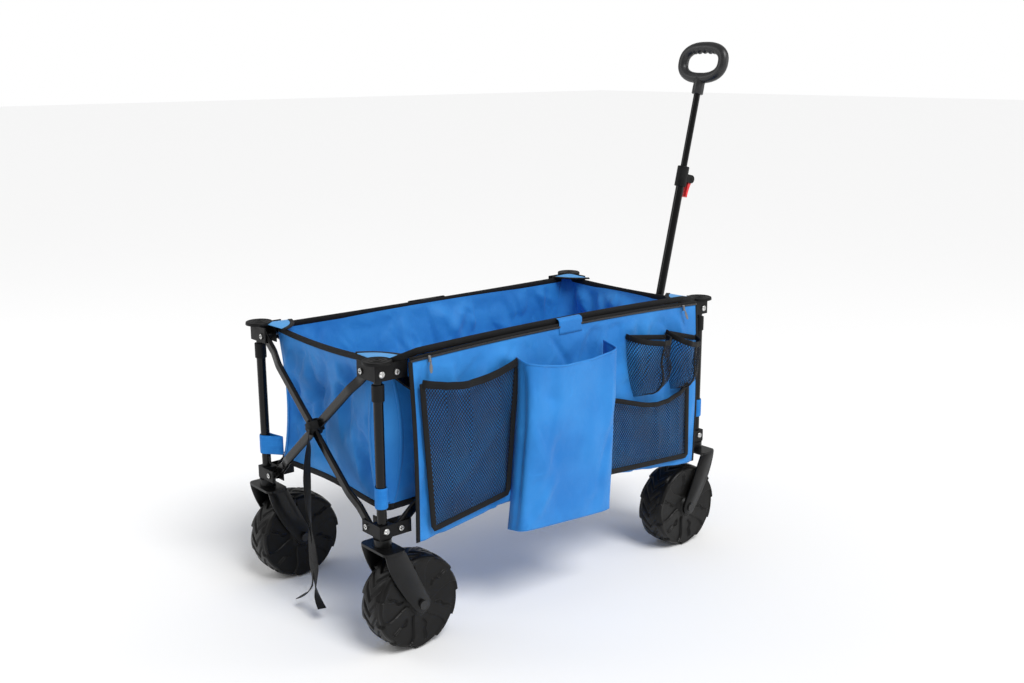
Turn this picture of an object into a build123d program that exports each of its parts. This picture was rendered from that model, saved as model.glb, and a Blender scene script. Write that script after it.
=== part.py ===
from build123d import *
import math
import os

# Folding wagon on four wheels. Origin on the ground, midway between the four posts.
# +X is forwards, to the handle; +Y is left; +Z is up. All sizes in millimetres.

# ---- driving sizes -------------------------------------------------------------------------
POST_SPACING_Y = 436.0  # between left and right post axes
LOWER_PIN_Z = 250.0  # height of the scissor pins in the lower corner brackets
UPPER_PIN_Z = 554.0  # height of the scissor pins in the upper corner brackets
PIN_INSET = 33.0  # from a post's axis to its scissor pins, along X and along Y
MID_PIN_HALF = 39.0  # half the distance between the two pins of a middle bracket
WHEEL_RADIUS = 95.0
WHEEL_WIDTH = 73.0
AXLE_OFFSET = 59.0  # from a post's axis to its wheel's axle, towards the middle of the wagon
HANDLE_LEAN = 13.5  # degrees forwards of upright
HANDLE_PIVOT_REACH = 70.0  # from the front posts' plane to the handle's pivot
HANDLE_PIVOT_DROP = 17.0  # the handle's pivot is this far below the crossing of the front bars
RUNNING = 0.05  # radial clearance of every turning pin
GAP = 0.3  # clearance between pieces that pass each other
SOFT_GAP = 1.0  # clearance that fabric keeps from its neighbours

# ---- sections ------------------------------------------------------------------------------
POST_OD = 19.0
POST_WALL = 1.2
INNER_OD = 16.0
INNER_WALL = 1.2
COLLAR_OD = 24.0
COLLAR_HEIGHT = 32.0
COLLAR_SKIRT = 18.0  # length of the collar that goes down over the post
PIN_RADIUS = 4.0
HEAD_RADIUS = 6.5
HEAD_HEIGHT = 2.4
BAR_HEIGHT = 20.0
BAR_THICK = 9.0
BAR_GAP = 1.6  # between the two bars of a crossing
BAR_BOW = 6.0  # the middle of a bar lies this far outside its ends
BAR_END_STRAIGHT = 44.0  # from a bar's pin to its bend
BAR_BEND_RUN = 34.0
BAR_BEND_RADIUS = 60.0

# ---- corner brackets -----------------------------------------------------------------------
BRACKET_HALF = 14.0  # half the depth of a bracket's leg
CHEEK = 2.6  # wall of a leg on each side of the bars
LEG_X = 58.0  # reach of a corner bracket's leg along X, from the post's axis
LEG_Y = 48.0  # reach along Y
LOWER_BRACKET_BELOW = 13.0
LOWER_BRACKET_ABOVE = 12.0
UPPER_BRACKET_BELOW = 13.0
UPPER_BRACKET_ABOVE = 19.0
CAP_RADIUS = 28.0
CAP_HEIGHT = 5.0
MID_END = 14.0  # a middle bracket reaches this far past its pins
MID_SLOT = 18.0  # a middle bracket's slots start this far inside its pins
LOWER_COVER_HALF = 13.0  # half width of the square cover under a lower bracket
LOWER_COVER = 3.0
COLLAR_TO_BRACKET = 8.0

# ---- forks and wheels ----------------------------------------------------------------------
CROWN_X = 48.0
CROWN_MARGIN = 2.5  # the crown reaches this far past each leg
CROWN_THICK = 5.0
CROWN_DROP = 19.0  # from the lower bracket's underside to the crown's top
CROWN_CORNER = 12.0
LEG_THICK = 4.0
LEG_END_RADIUS = 18.0
WHEEL_SIDE_GAP = 2.0  # between a wheel's hub and the fork's legs
SWIVEL_RADIUS = 17.0
STEM_RADIUS = 6.0
AXLE_RADIUS = 6.0
AXLE_HEAD_RADIUS = 9.0
AXLE_HEAD_HEIGHT = 5.0
WHEEL_DISH = 5.0  # depth of the wheel's side faces inside its hub and rim
WHEEL_SHELL = 5.0  # wall of the hollow moulded wheel
RIM_RADIUS = 86.0
HUB_RADIUS = 21.0

# ---- handle --------------------------------------------------------------------------------
LOWER_TUBE_OD = 20.0
LOWER_TUBE_WALL = 1.4
UPPER_TUBE_OD = 16.0
UPPER_TUBE_WALL = 1.2
LOWER_TUBE_LENGTH = 455.0
CLAMP_START = 428.0
CLAMP_LENGTH = 50.0
CLAMP_RADIUS = 14.5
UPPER_TUBE_START = 236.0
UPPER_TUBE_END = 690.0
GRIP_START = 656.0
GRIP_COLLAR_RADIUS = 14.0
GRIP_COLLAR_LENGTH = 30.0
GRIP_WIDTH = 165.0
GRIP_HEIGHT = 101.0
GRIP_HOLE_WIDTH = 117.0
GRIP_HOLE_HEIGHT = 50.0
GRIP_THICK = 25.0
HANDLE_PIN_RADIUS = 5.0
EAR_THICK = 3.5
EAR_RADIUS = 14.0
LEVER_REACH = 24.0  # from the handle's axis to the lever's pivot
LEVER_LENGTH = 44.0
LEVER_WIDTH = 18.0
LEVER_PIN_RADIUS = 2.5
HUB_PLATE = 4.0  # thickness of the plates that hang on the end crossings' rivets
HANDLE_PLATE_HALF = 30.0
HANDLE_PLATE_BELOW = 40.0
HANDLE_PLATE_ABOVE = 22.0
HANDLE_PLATE_CORNER = 8.0
EAR_GAP = 1.0  # between the handle's knuckle and each ear
KNUCKLE_GAP = 0.6

# ---- fabric --------------------------------------------------------------------------------
WALL_INSET = 22.0  # from a plane of posts to the tub's fabric wall inside it
FABRIC = 4.0
TUB_FLOOR_LIFT = 44.0  # from the lower pins to the tub's floor
TUB_TOP_DROP = 1.0  # from the top of the upper brackets' legs to the tub's rim
TUB_CORNER = 34.0  # the walls stop this far short of the post axes
FLOOR_STEP = 5.3  # the three floor panels overlap at heights this far apart
FLOOR_LAP = 6.0  # each floor panel reaches this far past its third
PANEL_OUTSET = 26.0  # from the near posts' plane to the organiser panel outside it
PANEL_REAR_END = 52.0  # from the rear posts' plane to the panel's rear edge
PANEL_FRONT_END = 46.0
PANEL_REACH = 26.0  # from the lower pins down to the panel's lower edge
PANEL_TOP_RISE = 3.0  # from the top of the upper brackets' legs to the panel's top
POCKET_WALL = 3.0
STRAP_WIDTH = 24.0
STRAP_THICK = 2.4
STRAP_BOTTOM_Z = 18.0
STRAP_TAIL_STEP = 6.0  # one tail ends this much higher than the other
WRAP_HALF_Y = 16.0
WRAP_HALF_Z = 18.0

# ---- worked out ----------------------------------------------------------------------------
BAR_RUN = POST_SPACING_Y - 2 * PIN_INSET  # horizontal distance between a bar's pins
BAR_RISE = UPPER_PIN_Z - LOWER_PIN_Z
BAR_LENGTH = math.hypot(BAR_RUN, BAR_RISE)
BAR_ANGLE = math.degrees(math.atan2(BAR_RISE, BAR_RUN))
POST_SPACING_X = 2 * (PIN_INSET + BAR_RUN + MID_PIN_HALF)  # equal bars all round
FRONT = POST_SPACING_X / 2
LEFT = POST_SPACING_Y / 2
CROSS_Z = (LOWER_PIN_Z + UPPER_PIN_Z) / 2
CROSS_X = MID_PIN_HALF + BAR_RUN / 2  # where the side bars cross, from the middle
BAR_PLANE = (BAR_THICK + BAR_GAP) / 2  # a bar's middle from its crossing's plane
LOWER_BOTTOM = LOWER_PIN_Z - LOWER_BRACKET_BELOW
LOWER_TOP = LOWER_PIN_Z + LOWER_BRACKET_ABOVE
UPPER_BOTTOM = UPPER_PIN_Z - UPPER_BRACKET_BELOW
UPPER_TOP = UPPER_PIN_Z + UPPER_BRACKET_ABOVE
TUB_FLOOR_Z = LOWER_PIN_Z + TUB_FLOOR_LIFT
TUB_TOP_Z = UPPER_TOP - TUB_TOP_DROP
PANEL_TOP_Z = UPPER_TOP + PANEL_TOP_RISE
PANEL_BOTTOM_Z = LOWER_PIN_Z - PANEL_REACH
COLLAR_TOP = UPPER_BOTTOM - COLLAR_TO_BRACKET
COLLAR_BOTTOM = COLLAR_TOP - COLLAR_HEIGHT
POST_TOP = COLLAR_BOTTOM + COLLAR_SKIRT
POST_BOTTOM = LOWER_BOTTOM + 1.0
INNER_BOTTOM = LOWER_TOP + 6.0
CROWN_TOP = LOWER_BOTTOM - CROWN_DROP
CROWN_BOTTOM = CROWN_TOP - CROWN_THICK
WHEEL_HALF = WHEEL_WIDTH / 2
LEG_INNER = WHEEL_HALF + WHEEL_SIDE_GAP
CROWN_Y = 2 * (LEG_INNER + LEG_THICK + CROWN_MARGIN)

os.makedirs("parts", exist_ok=True)


def rod(radius, start, end):
    """A solid cylinder from one point to another."""
    a = Vector(*start)
    along = Vector(*end) - a
    plane = Plane(origin=a, z_dir=along)
    return plane * Cylinder(radius, along.length, align=(Align.CENTER, Align.CENTER, Align.MIN))


def block(x0, x1, y0, y1, z0, z1):
    """A box between two corners, whichever way round they are given."""
    size = (abs(x1 - x0), abs(y1 - y0), abs(z1 - z0))
    return Pos((x0 + x1) / 2, (y0 + y1) / 2, (z0 + z1) / 2) * Box(*size)


def rivet(centre, axis, half_length):
    """A pin with a domed head at each end, its heads just outside half_length."""
    c = Vector(*centre)
    a = Vector(*axis)
    ends = [c - a * half_length, c + a * half_length]
    pin = rod(PIN_RADIUS, ends[0], ends[1])
    for end, way in zip(ends, (-1, 1)):
        head = rod(HEAD_RADIUS, end, end + a * (way * HEAD_HEIGHT))
        rim = head.edges().sort_by(Axis(tuple(c), tuple(a * way)))[-1]
        pin += fillet(rim, HEAD_HEIGHT * 0.6)
    return pin


def save(name, *solids):
    """Write one sub-part, of one or more separate solids."""
    whole = solids[0] if len(solids) == 1 else Compound(children=list(solids))
    export_step(whole, f"parts/{name}.step")


CORNERS = {
    "rear_right": (-1, -1),
    "rear_left": (-1, 1),
    "front_right": (1, -1),
    "front_left": (1, 1),
}


# ---- corner brackets, posts and caps -------------------------------------------------------
def corner_bracket(sx, sy, z0, z1, pin_z, post_hole):
    """An L of two hollow legs round a socket for the post, open at the legs' inner ends."""
    x, y = sx * FRONT, sy * LEFT
    h = BRACKET_HALF
    body = block(x + sx * h, x - sx * LEG_X, y - h, y + h, z0, z1)
    body += block(x - h, x + h, y + sy * h, y - sy * LEG_Y, z0, z1)
    body = fillet(body.edges().filter_by(Axis.Z), 2.0)
    slot = h - CHEEK
    inner = h + CHEEK
    body -= block(x - sx * inner, x - sx * (LEG_X + 1), y - slot, y + slot, z0 - 1, z1 + 1)
    body -= block(x - slot, x + slot, y - sy * inner, y - sy * (LEG_Y + 1), z0 - 1, z1 + 1)
    body -= rod(post_hole, (x, y, z0 - 1), (x, y, z1 + 1))
    reach = h + 1
    pin_x = x - sx * PIN_INSET
    pin_y = y - sy * PIN_INSET
    hole = PIN_RADIUS + RUNNING
    body -= rod(hole, (pin_x, y - reach, pin_z), (pin_x, y + reach, pin_z))
    body -= rod(hole, (x - reach, pin_y, pin_z), (x + reach, pin_y, pin_z))
    return body


def bracket_pins(sx, sy, pin_z):
    """The two scissor pins of a corner bracket, one through each leg."""
    x, y = sx * FRONT, sy * LEFT
    side = rivet((x - sx * PIN_INSET, y, pin_z), (0, 1, 0), BRACKET_HALF)
    end = rivet((x, y - sy * PIN_INSET, pin_z), (1, 0, 0), BRACKET_HALF)
    return side, end


def tube(od, wall, x, y, z0, z1):
    """An upright round tube."""
    return rod(od / 2, (x, y, z0), (x, y, z1)) - rod(od / 2 - wall, (x, y, z0 - 1), (x, y, z1 + 1))


for corner, (sx, sy) in CORNERS.items():
    x, y = sx * FRONT, sy * LEFT
    lower = corner_bracket(sx, sy, LOWER_BOTTOM, LOWER_TOP, LOWER_PIN_Z, POST_OD / 2)
    c = LOWER_COVER_HALF
    cover = block(x - c, x + c, y - c, y + c, LOWER_BOTTOM - LOWER_COVER, LOWER_BOTTOM)
    stem_hole = rod(STEM_RADIUS + RUNNING, (x, y, LOWER_BOTTOM - LOWER_COVER - 1), (x, y, LOWER_BOTTOM + 1))
    lower += cover - stem_hole
    save(f"lower_bracket_{corner}", lower, *bracket_pins(sx, sy, LOWER_PIN_Z))

    post = tube(POST_OD, POST_WALL, x, y, POST_BOTTOM, POST_TOP)
    collar = rod(COLLAR_OD / 2, (x, y, COLLAR_BOTTOM), (x, y, COLLAR_TOP))
    collar = fillet(collar.edges(), 1.5)
    collar -= rod(INNER_OD / 2 + GAP, (x, y, POST_TOP - 1), (x, y, COLLAR_TOP + 1))
    collar -= rod(POST_OD / 2, (x, y, COLLAR_BOTTOM - 1), (x, y, POST_TOP))
    save(f"post_{corner}", post, collar)

    upper = corner_bracket(sx, sy, UPPER_BOTTOM, UPPER_TOP, UPPER_PIN_Z, INNER_OD / 2)
    cap = rod(CAP_RADIUS, (x, y, UPPER_TOP), (x, y, UPPER_TOP + CAP_HEIGHT))
    cap = fillet(cap.edges().group_by(Axis.Z)[-1], 2.0)
    save(f"upper_bracket_{corner}", upper, cap, *bracket_pins(sx, sy, UPPER_PIN_Z))

    inner = tube(INNER_OD, INNER_WALL, x, y, INNER_BOTTOM, UPPER_TOP)
    save(f"inner_tube_{corner}", inner)


# ---- scissor bars --------------------------------------------------------------------------
def bar(centre, run_axis, out_axis, plane_offset, rises):
    """One flat-oval bar between two pins, bowed outwards between its ends.

    centre is the crossing, run_axis the way from its first pin to its second, out_axis the
    outward normal of its frame, and rises is 1 if it climbs along run_axis and -1 if it falls.
    """
    along = Vector(*run_axis) * BAR_RUN + Vector(0, 0, rises * BAR_RISE)
    along = along.normalized()
    half = BAR_LENGTH / 2
    over = BAR_HEIGHT / 2
    bend = half - BAR_END_STRAIGHT
    flat = bend - BAR_BEND_RUN
    route = [
        (-half - over, 0),
        (-bend, 0),
        (-flat, BAR_BOW),
        (flat, BAR_BOW),
        (bend, 0),
        (half + over, 0),
    ]
    line = FilletPolyline(*route, radius=BAR_BEND_RADIUS)
    section = Plane(origin=line @ 0, z_dir=line % 0)
    outline = section * (Rot(0, 0, 90) * RectangleRounded(BAR_HEIGHT, BAR_THICK, BAR_THICK * 0.49))
    body = sweep(outline, path=line)
    size = body.bounding_box().size
    if size.Y > size.Z:
        outline = section * RectangleRounded(BAR_HEIGHT, BAR_THICK, BAR_THICK * 0.49)
        body = sweep(outline, path=line)
    ends = extrude(
        Plane.XZ * SlotCenterToCenter(BAR_LENGTH, BAR_HEIGHT), amount=60, both=True
    )
    body = body & ends
    for at in (-half, 0, half):
        hole = PIN_RADIUS + RUNNING
        body -= rod(hole, (at, -60, 0), (at, 60, 0))
    place = Plane(
        origin=Vector(*centre) + Vector(*out_axis) * plane_offset,
        x_dir=along,
        z_dir=along.cross(Vector(*out_axis)),
    )
    return place * body


def crossing_rivet(centre, out_axis, extra_out):
    """The pin of a crossing, with a head inside and a plain end that runs on outwards."""
    c = Vector(*centre) + Vector(*out_axis) * BAR_BOW
    o = Vector(*out_axis)
    half = BAR_GAP / 2 + BAR_THICK
    pin = rod(PIN_RADIUS, c - o * half, c + o * (half + extra_out))
    pin += rod(HEAD_RADIUS, c - o * (half + HEAD_HEIGHT), c - o * half)
    pin += rod(HEAD_RADIUS, c + o * (half + extra_out), c + o * (half + extra_out + HEAD_HEIGHT))
    return pin


for end, sx in (("rear", -1), ("front", 1)):
    middle = (sx * FRONT, 0, CROSS_Z)
    out = (sx, 0, 0)
    one = bar(middle, (0, 1, 0), out, BAR_PLANE, 1)
    two = bar(middle, (0, 1, 0), out, -BAR_PLANE, -1)
    save(f"{end}_bar_outer", one, crossing_rivet(middle, out, HUB_PLATE + GAP))
    save(f"{end}_bar_inner", two)

for side, sy in (("right", -1), ("left", 1)):
    for end, sx in (("rear", -1), ("front", 1)):
        middle = (sx * CROSS_X, sy * LEFT, CROSS_Z)
        out = (0, sy, 0)
        one = bar(middle, (1, 0, 0), out, BAR_PLANE, 1)
        two = bar(middle, (1, 0, 0), out, -BAR_PLANE, -1)
        save(f"{side}_{end}_bar_outer", one, crossing_rivet(middle, out, 0.0))
        save(f"{side}_{end}_bar_inner", two)

    for level, pin_z, below, above in (
        ("upper", UPPER_PIN_Z, UPPER_BRACKET_BELOW, UPPER_BRACKET_BELOW),
        ("lower", LOWER_PIN_Z, LOWER_BRACKET_BELOW, LOWER_BRACKET_ABOVE),
    ):
        y = sy * LEFT
        long = MID_PIN_HALF + MID_END
        h = BRACKET_HALF
        body = block(-long, long, y - h, y + h, pin_z - below, pin_z + above)
        body = fillet(body.edges().filter_by(Axis.Y), 4.0)
        slot = h - CHEEK
        web = MID_PIN_HALF - MID_SLOT
        for way in (-1, 1):
            body -= block(
                way * web, way * (long + 1), y - slot, y + slot, pin_z - below - 1, pin_z + above + 1
            )
            at = way * MID_PIN_HALF
            body -= rod(PIN_RADIUS + RUNNING, (at, y - h - 1, pin_z), (at, y + h + 1, pin_z))
        pins = [rivet((way * MID_PIN_HALF, y, pin_z), (0, 1, 0), h) for way in (-1, 1)]
        save(f"{side}_middle_bracket_{level}", body, *pins)


# ---- forks, axles and wheels ---------------------------------------------------------------
def fork(x, y, sx):
    """A crown with a swivel housing and a leg down each side of the wheel to the axle."""
    axle_x = x - sx * AXLE_OFFSET
    crown = block(x - CROWN_X / 2, x + CROWN_X / 2, y - CROWN_Y / 2, y + CROWN_Y / 2, CROWN_BOTTOM, CROWN_TOP)
    crown = fillet(crown.edges().filter_by(Axis.Z), CROWN_CORNER)
    body = crown + rod(SWIVEL_RADIUS, (x, y, CROWN_TOP - 1), (x, y, LOWER_BOTTOM - LOWER_COVER - GAP))
    body += rod(STEM_RADIUS, (x, y, CROWN_TOP), (x, y, LOWER_BOTTOM + 0.5))
    with BuildSketch(Plane.XZ) as side:
        with BuildLine():
            Line((x - CROWN_X / 2 + 3, CROWN_BOTTOM + 1), (x + CROWN_X / 2 - 3, CROWN_BOTTOM + 1))
            CenterArc((axle_x, WHEEL_RADIUS), LEG_END_RADIUS, 0, 359.9)
        make_hull()
    for way in (-1, 1):
        plate = extrude(side.sketch, amount=LEG_THICK / 2, both=True)
        at = y + way * (LEG_INNER + LEG_THICK / 2)
        body += Pos(0, at, 0) * plate
    reach = LEG_INNER + LEG_THICK + 1
    body -= rod(AXLE_RADIUS, (axle_x, y - reach, WHEEL_RADIUS), (axle_x, y + reach, WHEEL_RADIUS))
    return body


def axle(x, y):
    """A bolt through both legs, with a head and a nut outside them."""
    out = LEG_INNER + LEG_THICK
    body = rod(AXLE_RADIUS, (x, y - out, WHEEL_RADIUS), (x, y + out, WHEEL_RADIUS))
    for way in (-1, 1):
        end = y + way * out
        head = rod(AXLE_HEAD_RADIUS, (x, end, WHEEL_RADIUS), (x, end + way * AXLE_HEAD_HEIGHT, WHEEL_RADIUS))
        body += head
    return body


def wheel(x, y):
    """A wide hollow moulded wheel: a crowned tread, dished side faces and a hub bored for the axle."""
    r, w = WHEEL_RADIUS, WHEEL_HALF
    face = w - WHEEL_DISH
    bore = AXLE_RADIUS + RUNNING
    outline = Polyline(
        (bore, -w), (HUB_RADIUS, -w), (HUB_RADIUS + 3, -face), (RIM_RADIUS - 6, -face), (RIM_RADIUS, -w + 2),
        (r - 3, -w + 9), (r, -w + 22), (r, w - 22), (r - 3, w - 9), (RIM_RADIUS, w - 2),
        (RIM_RADIUS - 6, face), (HUB_RADIUS + 3, face), (HUB_RADIUS, w), (bore, w), close=True,
    )
    body = revolve(make_face(Plane.XY * outline), Axis.Y)
    inner = face - WHEEL_SHELL
    edge = r - 2 * WHEEL_SHELL
    cavity = Polyline(
        (bore + WHEEL_SHELL, -inner), (edge, -inner), (r - WHEEL_SHELL, -inner + 12),
        (r - WHEEL_SHELL, inner - 12), (edge, inner), (bore + WHEEL_SHELL, inner), close=True,
    )
    body -= revolve(make_face(Plane.XY * cavity), Axis.Y)
    return Pos(x, y, r) * body


for corner, (sx, sy) in CORNERS.items():
    x, y = sx * FRONT, sy * LEFT
    axle_x = x - sx * AXLE_OFFSET
    save(f"fork_{corner}", fork(x, y, sx))
    save(f"axle_{corner}", axle(axle_x, y))
    save(f"wheel_{corner}", wheel(axle_x, y))


# ---- handle --------------------------------------------------------------------------------
lean = math.radians(HANDLE_LEAN)
PIVOT = Vector(FRONT + HANDLE_PIVOT_REACH, 0, CROSS_Z - HANDLE_PIVOT_DROP)
UP = Vector(math.sin(lean), 0, math.cos(lean))
AHEAD = Vector(math.cos(lean), 0, -math.sin(lean))
SIDEWAYS = Vector(0, 1, 0)


def on_handle(along, ahead=0.0, across=0.0):
    """A point along the handle's axis from its pivot, ahead of it and across it."""
    return PIVOT + UP * along + AHEAD * ahead + SIDEWAYS * across


def handle_rod(radius, start, end, ahead=0.0):
    return rod(radius, on_handle(start, ahead), on_handle(end, ahead))


hub_face = FRONT + BAR_BOW + BAR_GAP / 2 + BAR_THICK + GAP / 2
ear_inner = LOWER_TUBE_OD / 2 + EAR_GAP
plate_low = CROSS_Z - HANDLE_PLATE_BELOW
plate_high = CROSS_Z + HANDLE_PLATE_ABOVE
plate = block(hub_face, hub_face + HUB_PLATE, -HANDLE_PLATE_HALF, HANDLE_PLATE_HALF, plate_low, plate_high)
plate = fillet(plate.edges().filter_by(Axis.X), HANDLE_PLATE_CORNER)
plate -= rod(PIN_RADIUS + RUNNING, (hub_face - 1, 0, CROSS_Z), (hub_face + HUB_PLATE + 1, 0, CROSS_Z))
bracket = plate
for way in (-1, 1):
    y0 = way * ear_inner
    y1 = way * (ear_inner + EAR_THICK)
    ear = block(hub_face + HUB_PLATE - 1, PIVOT.X, y0, y1, PIVOT.Z - EAR_RADIUS, PIVOT.Z + EAR_RADIUS)
    ear += rod(EAR_RADIUS, (PIVOT.X, y0, PIVOT.Z), (PIVOT.X, y1, PIVOT.Z))
    bracket += ear
ear_outer = ear_inner + EAR_THICK
bracket -= rod(HANDLE_PIN_RADIUS, (PIVOT.X, -ear_outer - 1, PIVOT.Z), (PIVOT.X, ear_outer + 1, PIVOT.Z))
save("handle_bracket", bracket)

pin = rod(HANDLE_PIN_RADIUS, (PIVOT.X, -ear_outer, PIVOT.Z), (PIVOT.X, ear_outer, PIVOT.Z))
for way in (-1, 1):
    pin += rod(8.0, (PIVOT.X, way * ear_outer, PIVOT.Z), (PIVOT.X, way * (ear_outer + 3.5), PIVOT.Z))
save("handle_pin", pin)

knuckle_half = ear_inner - KNUCKLE_GAP
knuckle = rod(LOWER_TUBE_OD / 2, (0, -knuckle_half, 0), (0, knuckle_half, 0))
lower_tube = knuckle + rod(LOWER_TUBE_OD / 2, (0, 0, 0), UP * LOWER_TUBE_LENGTH)
lower_tube -= rod(LOWER_TUBE_OD / 2 - LOWER_TUBE_WALL, UP * 16, UP * (LOWER_TUBE_LENGTH + 1))
pivot_bore = HANDLE_PIN_RADIUS + RUNNING
lower_tube -= rod(pivot_bore, (0, -20, 0), (0, 20, 0))
save("handle_lower_tube", Pos(*PIVOT) * lower_tube)

clamp_end = CLAMP_START + CLAMP_LENGTH
lever_at = CLAMP_START + CLAMP_LENGTH * 0.45
clamp = handle_rod(CLAMP_RADIUS, CLAMP_START, clamp_end)
clamp = fillet(clamp.edges(), 2.0)
ear_half = LEVER_WIDTH / 2 + 3.0
for way in (-1, 1):
    face = Plane(origin=on_handle(lever_at, 0, way * (LEVER_WIDTH / 2 + 0.4)), x_dir=AHEAD, z_dir=SIDEWAYS * way)
    ear = face * extrude(
        SlotCenterToCenter(2 * LEVER_REACH, 20.0) - Pos(-LEVER_REACH, 0) * Rectangle(2 * LEVER_REACH, 40),
        amount=3.0,
    )
    clamp += ear
clamp -= handle_rod(LOWER_TUBE_OD / 2, CLAMP_START - 1, LOWER_TUBE_LENGTH)
clamp -= handle_rod(UPPER_TUBE_OD / 2 + GAP, LOWER_TUBE_LENGTH - 1, clamp_end + 1)
lever_pin_ends = (
    on_handle(lever_at, LEVER_REACH, -ear_half - 1.5),
    on_handle(lever_at, LEVER_REACH, ear_half + 1.5),
)
lever_pin = rod(LEVER_PIN_RADIUS, *lever_pin_ends)
clamp -= lever_pin
save("handle_clamp", clamp, lever_pin)

lever_face = Plane(origin=on_handle(lever_at, LEVER_REACH), x_dir=AHEAD, z_dir=SIDEWAYS)
with BuildSketch() as lever_side:
    with BuildLine():
        Polyline((-6, 0), (-7.4, -LEVER_LENGTH), (-1.5, -LEVER_LENGTH - 2))
        Spline((-1.5, -LEVER_LENGTH - 2), (0.5, -LEVER_LENGTH * 0.55), (8.2, 0))
        Line((8.2, 0), (-6, 0))
    make_face()
    Circle(9.0)
shape = extrude(lever_side.sketch, amount=LEVER_WIDTH / 2, both=True)
lever = lever_face * shape
if (lever.center() - on_handle(lever_at, LEVER_REACH)).dot(UP) > 0:
    lever_face = Plane(origin=on_handle(lever_at, LEVER_REACH), x_dir=AHEAD, z_dir=SIDEWAYS * -1)
    lever = lever_face * shape
lever -= rod(LEVER_PIN_RADIUS + RUNNING, *lever_pin_ends)
save("clamp_lever", lever)

upper_tube = handle_rod(UPPER_TUBE_OD / 2, UPPER_TUBE_START, UPPER_TUBE_END)
upper_tube -= handle_rod(UPPER_TUBE_OD / 2 - UPPER_TUBE_WALL, UPPER_TUBE_START - 1, UPPER_TUBE_END + 1)
save("handle_upper_tube", upper_tube)

grip_base = GRIP_START + GRIP_COLLAR_LENGTH - 3
grip_mid = grip_base + GRIP_HEIGHT / 2
loop_plane = Plane(origin=on_handle(grip_mid), x_dir=SIDEWAYS, z_dir=AHEAD)
outer = RectangleRounded(GRIP_WIDTH, GRIP_HEIGHT, GRIP_HEIGHT * 0.32)
inner = RectangleRounded(GRIP_HOLE_WIDTH, GRIP_HOLE_HEIGHT, GRIP_HOLE_HEIGHT * 0.36)
grip = extrude(outer - inner, amount=GRIP_THICK / 2, both=True)
grip = fillet(grip.edges().filter_by(GeomType.LINE, reverse=False).group_by(Axis.Z)[0], 9.0)
grip = loop_plane * fillet(grip.edges().group_by(Axis.Z)[-1], 9.0)
grip += handle_rod(GRIP_COLLAR_RADIUS, GRIP_START, grip_base + 6)
grip -= handle_rod(UPPER_TUBE_OD / 2, GRIP_START - 1, UPPER_TUBE_END)
save("handle_grip", grip)

# ---- fabric tub ----------------------------------------------------------------------------
tub_x = FRONT - WALL_INSET
tub_y = LEFT - WALL_INSET
wall_z0 = TUB_FLOOR_Z - 2 * FLOOR_STEP
clear_x = FRONT - TUB_CORNER
clear_y = LEFT - TUB_CORNER
for end, sx in (("rear", -1), ("front", 1)):
    wall = block(sx * tub_x, sx * (tub_x - FABRIC), -clear_y, clear_y, wall_z0, TUB_TOP_Z)
    save(f"tub_{end}_wall", wall)
for side, sy in (("right", -1), ("left", 1)):
    wall = block(-clear_x, clear_x, sy * tub_y, sy * (tub_y - FABRIC), wall_z0, TUB_TOP_Z)
    save(f"tub_{side}_wall", wall)

floor_x = tub_x - FABRIC - SOFT_GAP
floor_y = tub_y - FABRIC - SOFT_GAP
third = floor_x / 3
for name, x0, x1, level in (
    ("rear", -floor_x, -third + FLOOR_LAP, 1),
    ("middle", -third - FLOOR_LAP, third + FLOOR_LAP, 2),
    ("front", third - FLOOR_LAP, floor_x, 0),
):
    top = TUB_FLOOR_Z + (level - 1) * FLOOR_STEP
    save(f"tub_floor_{name}", block(x0, x1, -floor_y, floor_y, top - FLOOR_STEP + GAP, top))

# ---- organiser panel on the near side ------------------------------------------------------
panel_y = -LEFT - PANEL_OUTSET
panel_x0 = -FRONT + PANEL_REAR_END
panel_x1 = FRONT - PANEL_FRONT_END
panel = block(panel_x0, panel_x1, panel_y, panel_y - FABRIC, PANEL_BOTTOM_Z, PANEL_TOP_Z)


def pocket(x0, x1, lift, mouth_drop, depth):
    """A thin-walled pouch on the panel, open at the top; the panel is its back."""
    z0 = LOWER_PIN_Z + lift
    z1 = PANEL_TOP_Z - mouth_drop
    y0 = panel_y - FABRIC
    y1 = y0 - depth
    body = block(x0, x1, y0, y1, z0, z1)
    w = POCKET_WALL
    return body - block(x0 + w, x1 - w, y0, y1 + w, z0 + w, z1 + 1)


POCKETS = {  # rear edge, front edge, bottom above the lower pins, mouth below the panel's top, depth
    "centre": (-142.0, 100.0, -65.0, 48.0, 48.0),
    "rear_mesh": (-360.0, -150.0, -10.0, 54.0, 20.0),
    "front_mesh": (108.0, 378.0, -26.0, 186.0, 20.0),
    "cup_one": (165.0, 279.0, 148.0, 62.0, 50.0),
    "cup_two": (289.0, 385.0, 146.0, 70.0, 50.0),
}
pouches = [pocket(*sizes) for sizes in POCKETS.values()]
save("organiser_panel", panel, *pouches)

# ---- strap at the rear crossing ------------------------------------------------------------
strap_face = -(FRONT + BAR_BOW + BAR_GAP / 2 + BAR_THICK + GAP / 2)
wrap_low = CROSS_Z - WRAP_HALF_Z
wrap = block(strap_face, strap_face - HUB_PLATE, -WRAP_HALF_Y, WRAP_HALF_Y, wrap_low, CROSS_Z + WRAP_HALF_Z)
wrap -= rod(PIN_RADIUS + RUNNING, (strap_face + 1, 0, CROSS_Z), (strap_face - HUB_PLATE - 1, 0, CROSS_Z))
tail_x = strap_face - 0.5
tails = [
    block(tail_x, tail_x - STRAP_THICK, y0, y0 + STRAP_WIDTH, STRAP_BOTTOM_Z + lift, wrap_low)
    for y0, lift in ((SOFT_GAP, STRAP_TAIL_STEP), (-SOFT_GAP - STRAP_WIDTH, 0.0))
]
save("fold_strap", wrap, *tails)
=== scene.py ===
import math

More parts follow.
